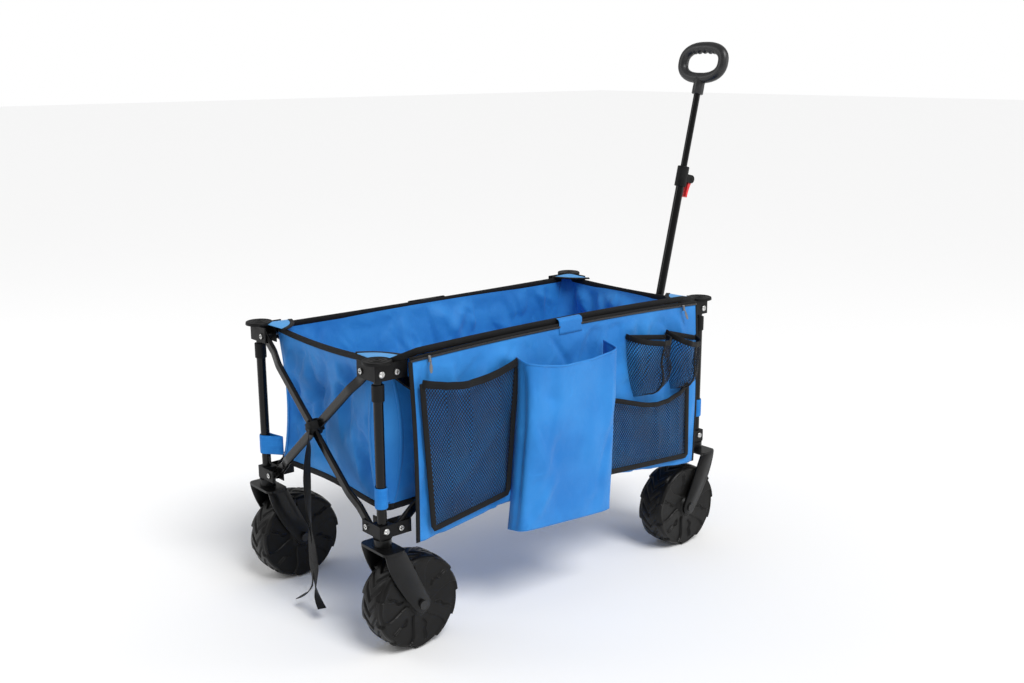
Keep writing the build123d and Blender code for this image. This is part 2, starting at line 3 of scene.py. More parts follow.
import bpy
import numpy as np
from mathutils import Matrix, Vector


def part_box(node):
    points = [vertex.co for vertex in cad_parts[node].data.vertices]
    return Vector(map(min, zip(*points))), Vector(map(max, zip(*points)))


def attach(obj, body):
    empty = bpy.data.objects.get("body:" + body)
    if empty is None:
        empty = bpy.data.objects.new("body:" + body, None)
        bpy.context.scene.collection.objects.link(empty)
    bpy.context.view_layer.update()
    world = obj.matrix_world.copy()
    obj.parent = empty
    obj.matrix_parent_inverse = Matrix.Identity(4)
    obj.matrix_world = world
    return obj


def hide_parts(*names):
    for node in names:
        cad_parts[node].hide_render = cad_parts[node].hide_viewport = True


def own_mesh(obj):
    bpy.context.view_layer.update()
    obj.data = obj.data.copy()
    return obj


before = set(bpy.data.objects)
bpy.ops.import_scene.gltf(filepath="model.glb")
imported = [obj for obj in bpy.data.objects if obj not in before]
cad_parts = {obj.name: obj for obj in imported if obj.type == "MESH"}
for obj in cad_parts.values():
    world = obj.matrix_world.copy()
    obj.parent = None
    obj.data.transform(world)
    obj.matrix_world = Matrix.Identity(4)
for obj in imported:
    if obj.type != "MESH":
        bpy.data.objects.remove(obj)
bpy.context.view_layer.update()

# ---- studio: camera, lamps and floor ---------------------------------------------------------
# The wagon stands on a plain pale floor in even, soft light. The camera stands at its rear
# right corner, above the rim, and looks down a little along the tub towards the handle.
CAMERA_AT = (-1.5921, -1.9471, 1.1061)
CAMERA_YAW = math.radians(40.401)
CAMERA_PITCH = math.radians(13.464)
CAMERA_ROLL = math.radians(-0.247)
CAMERA_LENS = 41.318


def camera_matrix(yaw, pitch, roll, at):
    """The camera's axes: forward turned by yaw from +Y and tipped down by pitch, then rolled."""
    forward = np.array([math.sin(yaw) * math.cos(pitch), math.cos(yaw) * math.cos(pitch), -math.sin(pitch)])
    level = np.array([math.cos(yaw), -math.sin(yaw), 0.0])
    upright = np.cross(level, forward)
    right = math.cos(roll) * level + math.sin(roll) * upright
    up = -math.sin(roll) * level + math.cos(roll) * upright
    turned = Matrix.Identity(4)
    for row in range(3):
        turned[row][0] = right[row]
        turned[row][1] = up[row]
        turned[row][2] = -forward[row]
        turned[row][3] = at[row]
    return turned


camera = bpy.data.objects.new("camera", bpy.data.cameras.new("camera"))
bpy.context.scene.collection.objects.link(camera)
camera.matrix_world = camera_matrix(CAMERA_YAW, CAMERA_PITCH, CAMERA_ROLL, CAMERA_AT)
camera.data.lens = CAMERA_LENS
camera.data.sensor_width = 36.0
bpy.context.scene.camera = camera


def lamp(name, at, target, size, power):
    """A square soft box at one point that faces another."""
    light = bpy.data.lights.new(name, "AREA")
    light.size = size
    light.energy = power
    holder = bpy.data.objects.new(name, light)
    bpy.context.scene.collection.objects.link(holder)
    way = Matrix.Translation(at).to_translation() - Matrix.Translation(target).to_translation()
    holder.matrix_world = Matrix.Translation(at) @ way.to_track_quat("Z", "Y").to_matrix().to_4x4()


lamp("side_lamp", (2.6, -2.2, 1.6), (0.0, 0.0, 0.4), 1.4, 16.0)
lamp("back_lamp", (-2.4, 2.2, 2.0), (0.0, 0.0, 0.5), 1.6, 18.0)

SUN_FROM = (-0.05, -0.92, 1.15)
SUN_SPREAD = math.radians(28)
SUN_STRENGTH = 2.05
sun = bpy.data.lights.new("overhead_bank", "SUN")
sun.energy = SUN_STRENGTH
sun.angle = SUN_SPREAD
sun_holder = bpy.data.objects.new("overhead_bank", sun)
bpy.context.scene.collection.objects.link(sun_holder)
sun_way = Matrix.Translation(SUN_FROM).to_translation()
sun_holder.matrix_world = sun_way.to_track_quat("Z", "Y").to_matrix().to_4x4()

ROOM_LIGHT = 0.46
ROOM_SEEN = 1.0
sky = bpy.data.worlds.new("studio")
bpy.context.scene.world = sky
sky.use_nodes = True
backdrop = sky.node_tree.nodes["Background"]
backdrop.inputs["Color"].default_value = (1.0, 1.0, 1.0, 1.0)
seen = sky.node_tree.nodes.new("ShaderNodeLightPath")
strength = sky.node_tree.nodes.new("ShaderNodeMapRange")
strength.inputs["To Min"].default_value = ROOM_LIGHT
strength.inputs["To Max"].default_value = ROOM_SEEN
sky.node_tree.links.new(seen.outputs["Is Camera Ray"], strength.inputs["Value"])
sky.node_tree.links.new(strength.outputs["Result"], backdrop.inputs["Strength"])
bpy.context.scene.view_settings.view_transform = "Standard"

FLOOR_HALF = 30.0
floor_mesh = bpy.data.meshes.new("studio_floor")
floor_corners = [(-FLOOR_HALF, -FLOOR_HALF, 0), (FLOOR_HALF, -FLOOR_HALF, 0),
                 (FLOOR_HALF, FLOOR_HALF, 0), (-FLOOR_HALF, FLOOR_HALF, 0)]
floor_mesh.from_pydata(floor_corners, [], [(0, 1, 2, 3)])
studio_floor = bpy.data.objects.new("studio_floor", floor_mesh)
bpy.context.scene.collection.objects.link(studio_floor)
pale = bpy.data.materials.new("pale_floor")
pale.use_nodes = True
pale.node_tree.nodes["Principled BSDF"].inputs["Base Color"].default_value = (0.985, 0.985, 0.985, 1.0)
pale.node_tree.nodes["Principled BSDF"].inputs["Roughness"].default_value = 0.9
floor_mesh.materials.append(pale)


# ---- steel frame: posts, inner tubes, scissor bars and the handle's tubes ----------------------
# Drawn steel tube and pressed flat-oval bar, powder coated in gloss black after forming.
# The coat has a fine orange peel, thin dust and a few rubbed marks where the pieces slide.
class Wire:
    """One socket of a finish's node tree. Arithmetic on it adds Math nodes to the same tree."""

    def __init__(self, tree, socket=None):
        self.tree = tree
        self.socket = socket

    def node(self, kind, settings, sockets, out=0):
        """Add a node: first its settings, or a ramp's stops, then its sockets' values or links."""
        made = self.tree.nodes.new("ShaderNode" + kind)
        for key, value in settings.items():
            if key == "stops":
                ramp = made.color_ramp
                while len(ramp.elements) < len(value):
                    ramp.elements.new(0.5)
                for element, (place, colour) in zip(ramp.elements, value):
                    element.position = place
                    element.color = colour
            else:
                setattr(made, key, value)
        for key, value in sockets.items():
            if isinstance(value, Wire):
                self.tree.links.new(value.socket, made.inputs[key])
            else:
                made.inputs[key].default_value = value
        return Wire(self.tree, made.outputs[out])

    def maths(self, operation, a, b=0.0):
        return self.node("Math", {"operation": operation}, {0: a, 1: b})

    def __add__(self, other):
        return self.maths("ADD", self, other)

    def __radd__(self, other):
        return self.maths("ADD", other, self)

    def __sub__(self, other):
        return self.maths("SUBTRACT", self, other)

    def __rsub__(self, other):
        return self.maths("SUBTRACT", other, self)

    def __mul__(self, other):
        return self.maths("MULTIPLY", self, other)

    def __rmul__(self, other):
        return self.maths("MULTIPLY", other, self)

    def sine(self):
        return self.maths("SINE", self)

    def size(self):
        return self.maths("ABSOLUTE", self)

    def between(self, low, high):
        """0 below low and 1 above high, with a soft step between them."""
        return self.node("MapRange", {"interpolation_type": "SMOOTHSTEP"},
                         {"Value": self, "From Min": low, "From Max": high})

    def tint(self, colour_at_0, colour_at_1):
        """A colour mixed by this socket."""
        return self.node("Mix", {"data_type": "RGBA"}, {0: self, 6: colour_at_0, 7: colour_at_1}, 2)

    def noise(self, place, scale, detail=4.0):
        """Cloudy noise at a place, scale in lumps to the metre."""
        return self.node("TexNoise", {}, {"Vector": place, "Scale": scale, "Detail": detail})

    def place(self):
        """Places on the object itself, in metres."""
        return self.node("TexCoord", {}, {}, "Object")

    def uv(self, axis):
        """One axis of the UVs, in metres."""
        return self.node("SeparateXYZ", {}, {0: self.node("TexCoord", {}, {}, "UV")}, axis)

    def wave(self, pitch):
        """A sine that comes round once every pitch."""
        return (self * (2 * math.pi / pitch)).sine()

    def into(self, socket):
        self.tree.links.new(self.socket, socket)


def finish(name, **constants):
    """A new material, a wire in its tree and its shader, with the shader's constants set."""
    material = bpy.data.materials.new(name)
    material.use_nodes = True
    shader = material.node_tree.nodes["Principled BSDF"]
    for key, value in constants.items():
        shader.inputs[key.replace("_", " ")].default_value = value
    return material, Wire(material.node_tree), shader


def raise_grain(wire, shader, height, strength, depth):
    """Feed a height to the shader's normal through a bump."""
    bump = wire.node("Bump", {}, {"Height": height, "Strength": strength, "Distance": depth})
    bump.into(shader.inputs["Normal"])


def clouded(name, dark, pale, lumps, edges, rough, grain=None, **constants):
    """Two tones in soft clouds, lumps of them to the metre, that also vary the roughness.

    rough is the least roughness and the clouds' share. grain is a fine bump's scale, detail,
    strength and depth, and its own share of the roughness.
    """
    material, wire, shader = finish(name, **constants)
    cloud = wire.noise(wire.place(), lumps)
    if edges:
        cloud = cloud.between(*edges)
    cloud.tint(dark, pale).into(shader.inputs["Base Color"])
    roughness = rough[0] + cloud * rough[1]
    if grain:
        scale, detail, strength, depth, share = grain
        spark = wire.noise(wire.place(), scale, detail)
        roughness = roughness + spark * share
        raise_grain(wire, shader, spark, strength, depth)
    roughness.into(shader.inputs["Roughness"])
    return material


def coated_steel(name, base, gloss, peel):
    """Powder coat: a base colour with dust in soft clouds, rubbed streaks and an orange peel."""
    material, wire, shader = finish(name, Coat_Roughness=0.10, Specular_IOR_Level=0.20)
    place = wire.place()
    dust = wire.noise(place, 22.0).between(0.45, 0.75)
    stretched = wire.node("Mapping", {}, {"Vector": place, "Scale": (90.0, 90.0, 9.0)})
    rubs = wire.noise(stretched, 3.0).between(0.62, 0.7)
    dusty = tuple(channel * 1.6 + 0.0012 for channel in base[:3]) + (1.0,)
    dust.tint(base, dusty).into(shader.inputs["Base Color"])
    (gloss + dust * 0.1 + rubs * 0.14).into(shader.inputs["Roughness"])
    (0.12 - rubs * 0.10).into(shader.inputs["Coat Weight"])
    raise_grain(wire, shader, wire.noise(place, peel, 2.0), 0.12, 0.0006)
    return material


frame_black = coated_steel("gloss_black_tube", (0.0022, 0.0022, 0.0024, 1.0), 0.18, 420.0)
bar_black = coated_steel("gloss_black_bar", (0.0024, 0.0024, 0.0026, 1.0), 0.20, 380.0)


def paint(node, material):
    """Give a CAD node its finish in every material slot."""
    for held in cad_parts[node].material_slots:
        held.material = material


CORNERS = {f"{end}_{side}": (sx, sy) for end, sx in (("rear", -1), ("front", 1))
           for side, sy in (("right", -1), ("left", 1))}
for corner in CORNERS:
    paint(f"inner_tube_{corner}", frame_black)
for end in ("rear", "front"):
    for layer in ("outer", "inner"):
        paint(f"{end}_bar_{layer}", bar_black)
        for side in ("right", "left"):
            paint(f"{side}_{end}_bar_{layer}", bar_black)
for name in ("handle_lower_tube", "handle_upper_tube", "handle_bracket"):
    paint(name, frame_black)

# ---- posts with their moulded collars ----------------------------------------------------------
# A post is gloss black tube; the collar at its top, where the inner tube slides in, is a
# matt moulding with a fine spark texture.
collar_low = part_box("post_rear_right")[1].z - 0.032
post_black, post_wire, post_shader = finish("post_and_collar", Specular_IOR_Level=0.20)
post_place = post_wire.place()
post_height = post_wire.node("SeparateXYZ", {}, {0: post_place}, "Z")
on_collar = post_height.between(collar_low - 0.0005, collar_low)
post_dust = post_wire.noise(post_place, 25.0).between(0.45, 0.75)
(post_dust * 0.5 + on_collar * 0.5).tint((0.0022, 0.0022, 0.0024, 1.0), (0.006, 0.006, 0.0063, 1.0)).into(
    post_shader.inputs["Base Color"])
(0.2 + post_dust * 0.1 + on_collar * 0.28).into(post_shader.inputs["Roughness"])
(0.12 - on_collar * 0.12).into(post_shader.inputs["Coat Weight"])
post_grain = post_wire.noise(post_place, 900.0, 3.0) * on_collar
post_grain = post_grain + post_wire.noise(post_place, 400.0, 1.0) * 0.2
raise_grain(post_wire, post_shader, post_grain, 0.25, 0.0005)
for corner in CORNERS:
    paint(f"post_{corner}", post_black)

# ---- corner and middle brackets ----------------------------------------------------------------
# Glass-filled nylon mouldings, matt black with a sparked surface, slightly paler and rougher
# in soft random clouds.
nylon = clouded("bracket_nylon", (0.0030, 0.0030, 0.0033, 1.0), (0.0075, 0.0075, 0.008, 1.0), 35.0, (0.4, 0.72),
                (0.42, 0.12), (1500.0, 2.0, 0.3, 0.0004, 0.08), Specular_IOR_Level=0.20)
for corner in CORNERS:
    paint(f"lower_bracket_{corner}", nylon)
    paint(f"upper_bracket_{corner}", nylon)
for side in ("right", "left"):
    for level in ("upper", "lower"):
        paint(f"{side}_middle_bracket_{level}", nylon)


def mesh_piece(name, places, corners, sizes, uv, material):
    """A smooth mesh from places, each face's corners and their number, and a UV to each corner."""
    mesh = bpy.data.meshes.new(name)
    mesh.vertices.add(places.size // 3)
    mesh.vertices.foreach_set("co", places.reshape(-1))
    mesh.loops.add(len(corners))
    mesh.loops.foreach_set("vertex_index", corners.astype(np.int32))
    mesh.polygons.add(len(sizes))
    starts = np.concatenate([[0], np.cumsum(sizes)[:-1]])
    mesh.polygons.foreach_set("loop_start", starts.astype(np.int32))
    mesh.polygons.foreach_set("use_smooth", np.ones(len(sizes), bool))
    mesh.update(calc_edges=True)
    mesh.validate()
    mesh.uv_layers.new(name="UVMap").data.foreach_set("uv", uv.astype(np.float32).reshape(-1))
    mesh.materials.append(material)
    made = bpy.data.objects.new(name, mesh)
    bpy.context.scene.collection.objects.link(made)
    return made


def surface(name, points, material, wrap=False, ends=False, flip=False):
    """A mesh from a grid of points, rows by columns, with UVs in metres along both ways.

    wrap joins the last column to the first, and ends closes the first and last rows.
    """
    points = np.asarray(points, float)
    rows, columns = points.shape[:2]
    along = np.concatenate([[0], np.cumsum(np.linalg.norm(np.diff(points, axis=0), axis=2).mean(1))])
    looped = np.concatenate([points, points[:, :1]], axis=1)
    across = np.concatenate([[0], np.cumsum(np.linalg.norm(np.diff(looped, axis=1), axis=2).mean(0))])
    spans = columns if wrap else columns - 1
    i, j = np.meshgrid(np.arange(rows - 1), np.arange(spans), indexing="ij")
    i, j = i.ravel(), j.ravel()
    step = [(0, 0), (0, 1), (1, 1), (1, 0)]
    if flip:
        step = step[::-1]
    quads = np.stack([(i + a) * columns + (j + b) % columns for a, b in step], axis=1)
    uv = np.stack([np.stack([across[j + b], along[i + a]], axis=1) for a, b in step], axis=1)
    corners = quads.ravel()
    sizes = np.full(len(quads), 4)
    uv = uv.reshape(-1, 2)
    if ends:
        first = np.arange(columns)
        last = first + (rows - 1) * columns
        lids = [first[::-1], last] if not flip else [first, last[::-1]]
        corners = np.concatenate([corners, *lids])
        sizes = np.concatenate([sizes, [columns, columns]])
        uv = np.concatenate([uv, np.zeros((2 * columns, 2))])
    return mesh_piece(name, points, corners, sizes, uv, material)


def join(name, pieces):
    """Several meshes of one finish as one piece: their arrays end to end."""
    def pull(rows, field, width, kind):
        values = np.zeros(len(rows) * width, kind)
        rows.foreach_get(field, values)
        return values

    meshes = [piece.data for piece in pieces]
    material = meshes[0].materials[0]
    bases = np.cumsum([0] + [len(mesh.vertices) for mesh in meshes])
    places = np.concatenate([pull(mesh.vertices, "co", 3, float) for mesh in meshes])
    corners = np.concatenate([pull(mesh.loops, "vertex_index", 1, np.int32) + base
                              for mesh, base in zip(meshes, bases)])
    sizes = np.concatenate([pull(mesh.polygons, "loop_total", 1, np.int32) for mesh in meshes])
    uv = np.concatenate([pull(mesh.uv_layers["UVMap"].data, "uv", 2, float) for mesh in meshes])
    for piece in pieces:
        bpy.data.objects.remove(piece)
    return mesh_piece(name, places, corners, sizes, uv, material)


def carry(piece, body, node=None):
    """Ride a piece on its body and hide the node it stands in for."""
    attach(piece, body)
    if node:
        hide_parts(node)


def stacked(x, y, z):
    """Places from three arrays that broadcast against each other."""
    return np.stack(np.broadcast_arrays(x, y, z), axis=-1)


def full_turn(count):
    """Angles evenly round a circle."""
    return np.linspace(0, 2 * math.pi, count, endpoint=False)


def box_middle(node):
    """The middle of a node's box."""
    low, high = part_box(node)
    return (low + high) / 2


# ---- cap discs ---------------------------------------------------------------------------------
# Each upper bracket ends in a round nylon cap that carries the tub's corner. Its top is
# dished, with a raised rim, a middle ring and a screw boss.
CAP_STEPS = 64
CAP_SINK = 0.0004
CAP_PROFILE = [(0.0272, 0.0), (0.0274, 0.0008), (0.0264, 0.0013), (0.0245, 0.0013), (0.0232, 0.0005),
               (0.0170, 0.0005), (0.0160, 0.0012), (0.0140, 0.0012), (0.0130, 0.0005), (0.0085, 0.0005),
               (0.0078, 0.0014), (0.0045, 0.0016), (0.0040, 0.0008), (0.0008, 0.0008)]
cap_radius, cap_height = np.array(CAP_PROFILE).T[:, :, None]
for corner in CORNERS:
    tube = box_middle(f"inner_tube_{corner}")
    cap_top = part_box(f"upper_bracket_{corner}")[1].z - CAP_SINK
    points = stacked(tube.x + cap_radius * np.cos(full_turn(CAP_STEPS)),
                     tube.y + cap_radius * np.sin(full_turn(CAP_STEPS)), cap_top + cap_height)
    cap_disc = surface(f"cap_disc_{corner}", points, nylon, wrap=True, ends=True)
    carry(cap_disc, f"upper_{corner}")

# ---- screw and rivet heads ---------------------------------------------------------------------
# Zinc-plated pan heads with a cross recess sit on every scissor pin, and one more on each
# outer side face fixes the bracket to its post.
HEAD_RADIUS = 0.0068
HEAD_DOME = 0.0031
HEAD_SEAT = 0.0006
CROSS_HALF = 0.0009
CROSS_REACH = 0.0040
CROSS_DEPTH = 0.0016
HEAD_RINGS = 15
HEAD_STEPS = 32
zinc = clouded("zinc_plate", (0.50, 0.50, 0.49, 1.0), (0.78, 0.78, 0.77, 1.0), 600.0, None,
               (0.2, 0.2), (2500.0, 4.0, 0.15, 0.0002, 0.0), Metallic=1.0)


def pan_head(name, seat, out):
    """A dome whose height falls with the fourth power of radius, with a cross sunk in its top."""
    out = np.asarray(out, float)
    first = np.cross(out, (0.0, 0.0, 1.0))
    second = np.cross(out, first)
    share = np.linspace(1.0, 0.02, HEAD_RINGS)[:, None]
    angle = full_turn(HEAD_STEPS)[None, :]
    a = HEAD_RADIUS * share * np.cos(angle)
    b = HEAD_RADIUS * share * np.sin(angle)
    dome = HEAD_DOME * (1 - share ** 4 * 0.75) + 0 * angle
    slot_mask = (np.minimum(abs(a), abs(b)) < CROSS_HALF) & (np.maximum(abs(a), abs(b)) < CROSS_REACH)
    dome = dome - CROSS_DEPTH * slot_mask
    dome[0] = -HEAD_SEAT
    place = (np.asarray(seat, float) + a[..., None] * first + b[..., None] * second + dome[..., None] * out)
    return surface(name, place, zinc, wrap=True, ends=True)


PIN_INSET = 0.033
BRACKET_HALF = 0.014
HEAD_LIFT = 0.0002


def bracket_heads(corner, level, pin_z):
    """One corner bracket's heads: two on its side face, one on its end face and two inside."""
    x, y, _ = box_middle(f"inner_tube_{corner}")
    sx, sy = CORNERS[corner]
    seat = BRACKET_HALF + HEAD_LIFT
    pin_x, pin_y = x - sx * PIN_INSET, y - sy * PIN_INSET
    spots = [((pin_x, y + sy * seat, pin_z), (0, sy, 0)), ((x, y + sy * seat, pin_z), (0, sy, 0)),
             ((x + sx * seat, pin_y, pin_z), (sx, 0, 0)), ((pin_x, y - sy * seat, pin_z), (0, -sy, 0)),
             ((x - sx * seat, pin_y, pin_z), (-sx, 0, 0))]
    heads = [pan_head(f"head_{k}", place, out) for k, (place, out) in enumerate(spots)]
    carry(join(f"screw_heads_{level}_{corner}", heads), f"{level}_{corner}")


PIN_UNDER_TOP = 0.012
PIN_OVER_FOOT = 0.013
LOWER_PIN_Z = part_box("lower_bracket_rear_right")[1].z - PIN_UNDER_TOP
UPPER_PIN_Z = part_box("right_middle_bracket_upper")[0].z + PIN_OVER_FOOT
for corner in CORNERS:
    bracket_heads(corner, "lower", LOWER_PIN_Z)
    bracket_heads(corner, "upper", UPPER_PIN_Z)
MIDDLE_PIN_X = 0.039
for side in ("right", "left"):
    for level, pin_z in (("upper", UPPER_PIN_Z), ("lower", LOWER_PIN_Z)):
        bracket_y = box_middle(f"{side}_middle_bracket_{level}").y
        spots = [(way * MIDDLE_PIN_X, face) for way in (-1, 1) for face in (-1, 1)]
        heads = [pan_head(f"head_{k}", (at, bracket_y + face * (BRACKET_HALF + HEAD_LIFT), pin_z), (0, face, 0))
                 for k, (at, face) in enumerate(spots)]
        carry(join(f"screw_heads_{side}_middle_{level}", heads), f"{side}_middle_{level}")

# ---- forks and axle bolts ----------------------------------------------------------------------
# Pressed steel forks in satin black powder coat, rubbed a little at the edges, on plated
# axle bolts that are blackened like the rest.
fork_satin = coated_steel("satin_black_fork", (0.0030, 0.0030, 0.0032, 1.0), 0.30, 700.0)
axle_black = clouded("blackened_bolt", (0.025, 0.025, 0.026, 1.0), (0.06, 0.06, 0.06, 1.0), 300.0, None,
                     (0.32, 0.2), Metallic=0.7)
for corner in CORNERS:
    paint(f"fork_{corner}", fork_satin)
    paint(f"axle_{corner}", axle_black)
paint("handle_pin", axle_black)

LEG_BULGE = 0.009
LEG_SKIN = 0.0005
LEG_THICK = 0.004
LEG_INSET = 0.0045
CROWN_DROP = 0.0345
CROWN_HALF = 0.0215
BOSS_RADIUS = 0.0185
BOSS_BACK = (-0.0155, -0.0100)
BOSS_FRONT = (0.0165, 0.0084)
fork_body = {corner: ("lower_" if "rear" in corner else "caster_") + corner for corner in CORNERS}


def leg_plate(name, crown_x, crown_z, axle_x, axle_z, y):
    """A fork leg's outline, straight in front and bulged behind, drawn round the axle's boss.

    The bulge is a sine of the way down the leg, raised to a power that sets it near the crown.
    """
    way = math.copysign(1, axle_x - crown_x)
    drop = crown_z - axle_z
    shift = abs(axle_x - crown_x)
    t = np.linspace(0, 1, 24)
    bulge = LEG_BULGE * np.sin(math.pi * t ** 0.8)
    back_x = -CROWN_HALF + (shift + BOSS_BACK[0] + CROWN_HALF) * t - bulge * 0.90
    back_z = drop + (BOSS_BACK[1] - drop) * t - bulge * 0.44
    turn = np.linspace(math.radians(213), math.radians(387), 24)[1:-1]
    boss_x, boss_z = shift + BOSS_RADIUS * np.cos(turn), BOSS_RADIUS * np.sin(turn)
    front_x = shift + BOSS_FRONT[0] + (CROWN_HALF - shift - BOSS_FRONT[0]) * t
    front_z = BOSS_FRONT[1] + (drop - BOSS_FRONT[1]) * t
    x = crown_x + way * np.concatenate([back_x, boss_x, front_x])
    z = axle_z + np.concatenate([back_z, boss_z, front_z])
    middle = np.array([x.mean(), z.mean()])
    half = LEG_THICK / 2 + LEG_SKIN
    rows = [(-half, 0.965), (-half + 0.0012, 1.0), (half - 0.0012, 1.0), (half, 0.965)]
    ring = [stacked(middle[0] + (x - middle[0]) * share, y + at, middle[1] + (z - middle[1]) * share)
            for at, share in rows]
    return surface(name, np.stack(ring), fork_satin, wrap=True, ends=True, flip=way > 0)


for corner in CORNERS:
    fork_lo, fork_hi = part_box(f"fork_{corner}")
    bolt = box_middle(f"axle_{corner}")
    leg_out = (fork_hi.y - fork_lo.y) / 2 - LEG_INSET
    stem_x = box_middle(f"inner_tube_{corner}").x
    legs = [leg_plate(f"leg_{way}", stem_x, LOWER_PIN_Z - CROWN_DROP, bolt.x, bolt.z,
                      (fork_lo.y + fork_hi.y) / 2 + way * leg_out) for way in (-1, 1)]
    carry(join(f"fork_legs_{corner}", legs), fork_body[corner])

# ---- wheels ------------------------------------------------------------------------------------
# Wide blow-moulded wheels for sand. Each side face is a fan of six swirled blades with a
# sharp step and a kinked rib on each; saw-tooth lugs bite the rim, and the tread has chevrons.
BLADES = 6
BLADE_STEP = 0.0040
BLADE_SWIRL = 0.09
RIB_HEIGHT = 0.0030
LUGS = 11
LUG_DEPTH = 0.0042
CHEVRONS = 20
CHEVRON_DEPTH = 0.0028
WHEEL_STEPS = 440
WHEEL_PROFILE = [(0.0066, -0.0372), (0.0190, -0.0372), (0.0215, -0.0350), (0.0235, -0.0322),
                 (0.0400, -0.0318), (0.0600, -0.0324), (0.0800, -0.0334), (0.0880, -0.0344),
                 (0.0905, -0.0340), (0.0930, -0.0305), (0.0944, -0.0235), (0.0950, -0.0130), (0.0950, 0.0)]
wheel_black, wheel_wire, wheel_shader = finish("moulded_wheel", Specular_IOR_Level=0.22)
wheel_place = wheel_wire.place()
wheel_dust = wheel_wire.noise(wheel_place, 30.0, 6.0).between(0.45, 0.8)
wheel_round = wheel_wire.node("Mapping", {}, {"Vector": wheel_place, "Scale": (40, 220, 40)})
wheel_scuff = wheel_wire.noise(wheel_round, 2.5).between(0.6, 0.72)
(wheel_dust * 0.6 + wheel_scuff * 0.4).tint((0.0040, 0.0038, 0.0036, 1.0), (0.011, 0.0105, 0.010, 1.0)).into(
    wheel_shader.inputs["Base Color"])
(0.36 + wheel_dust * 0.14 + wheel_scuff * 0.1).into(wheel_shader.inputs["Roughness"])
raise_grain(wheel_wire, wheel_shader, wheel_wire.noise(wheel_place, 900.0, 3.0), 0.22, 0.0005)


def smooth(value, low, high):
    """A smooth step of value from low to high."""
    t = np.clip((value - low) / (high - low), 0, 1)
    return t * t * (3 - 2 * t)


def wheel_shape(centre):
    """The turned profile, pushed along the axle by blades and ribs and inwards by lugs and chevrons."""
    half = np.asarray(WHEEL_PROFILE)
    whole = np.concatenate([half, (half[-2::-1]) * (1, -1)])
    lengths = np.concatenate([[0], np.cumsum(np.linalg.norm(np.diff(whole, axis=0), axis=1))])
    at = np.unique(np.concatenate([lengths, np.linspace(0, lengths[-1], 120)]))
    radius = np.interp(at, lengths, whole[:, 0])[:, None]
    across = np.interp(at, lengths, whole[:, 1])[:, None]
    angle = full_turn(WHEEL_STEPS)[None, :]
    side = np.sign(across)
    turn = angle * side / (2 * math.pi)
    swirl = BLADE_SWIRL * np.sin((radius - 0.026) / 0.062 * math.pi * 0.75)
    phase = (turn * BLADES + swirl * BLADES / 2) % 1.0
    on_face = smooth(radius, 0.0235, 0.030) * (1 - smooth(radius, 0.085, 0.088))
    on_face = on_face * (abs(across) > 0.029)
    blade = BLADE_STEP * (phase * (phase < 0.985) - 0.75)
    kink = 0.5 + 0.10 * np.tanh((radius - 0.055) / 0.004)
    rib = sum(np.exp(-((phase - kink - gap) / 0.011) ** 2) for gap in (-0.034, 0.034))
    rib = rib * smooth(radius, 0.036, 0.042) * (1 - smooth(radius, 0.076, 0.082))
    out = on_face * (blade + RIB_HEIGHT * rib)
    tooth = (turn * LUGS) % 1.0
    rim = smooth(radius, 0.0865, 0.0895)
    step_in = LUG_DEPTH * rim * (1 - tooth) ** 1.4
    step_in = step_in * smooth(abs(across), 0.018, 0.026)
    tread = smooth(0.0225 - abs(across), 0.0, 0.002) * (radius > 0.0925)
    groove = (angle / (2 * math.pi) * CHEVRONS + abs(across) * 42.0) % 1.0
    groove = smooth(groove, 0.0, 0.08) * (1 - smooth(groove, 0.36, 0.44))
    shrink = step_in + CHEVRON_DEPTH * tread * groove
    new_radius = radius - shrink
    new_across = across + side * (out - 0.4 * step_in)
    return stacked(centre[0] + new_radius * np.cos(angle), centre[1] + new_across,
                   centre[2] + new_radius * np.sin(angle))


for corner in CORNERS:
    points = wheel_shape(box_middle(f"wheel_{corner}"))
    closed = np.concatenate([points, points[:1]])
    tyre = surface(f"moulded_wheel_{corner}", closed, wheel_black, wrap=True, flip=True)
    carry(tyre, f"wheel_{corner}", f"wheel_{corner}")

# ---- tub walls ---------------------------------------------------------------------------------
# The tub is coated azure polyester, woven like oxford cloth, cut slack so that it hangs in
# broad soft creases between its corners. The near wall rolls out over the side rail.
CLOTH_THICK = 0.0012
WEAVE_PITCH = 0.0011
# A lit and a shaded tone of the one azure cloth: its colour is mixed between them, and on the crumples this is
# painted light and shade.
AZURE_LIT = (0.032, 0.285, 0.740, 1.0)
AZURE_SHADED = (0.012, 0.180, 0.560, 1.0)
STEP = 0.0045


def azure_cloth(name, lit, deep):
    """Plain weave from two crossed sines on the UVs, with soft random clouds and fine crumples whose raised
    crests are painted in the lit tone and hollows in the shaded tone, as painted light and shade.
    """
    material, wire, shader = finish(name, Sheen_Weight=0.10, Sheen_Roughness=0.45, Specular_IOR_Level=0.30)
    place = wire.place()
    thread = wire.uv("X").wave(WEAVE_PITCH) * wire.uv("Y").wave(WEAVE_PITCH)
    cloud = wire.noise(place, 9.0, 5.0).between(0.3, 0.7)
    crumple = wire.node("TexNoise", {}, {"Vector": place, "Scale": 34.0, "Detail": 5.0, "Distortion": 0.8})
    # Painted light and shade: the crumples' raised crests take the lit tone and their hollows the shaded tone.
    lit_crests = crumple.between(0.58, 0.78)
    shade = cloud * 0.6 + lit_crests * 0.3 + thread * 0.06 + 0.05
    shade.tint(deep, lit).into(shader.inputs["Base Color"])
    (0.56 + lit_crests * 0.1 - cloud * 0.06).into(shader.inputs["Roughness"])
    raise_grain(wire, shader, crumple * 0.9 + thread * 0.05 + wire.noise(place, 110.0, 3.0) * 0.18, 0.42, 0.004)
    return material


azure = azure_cloth("azure_polyester", AZURE_LIT, AZURE_SHADED)


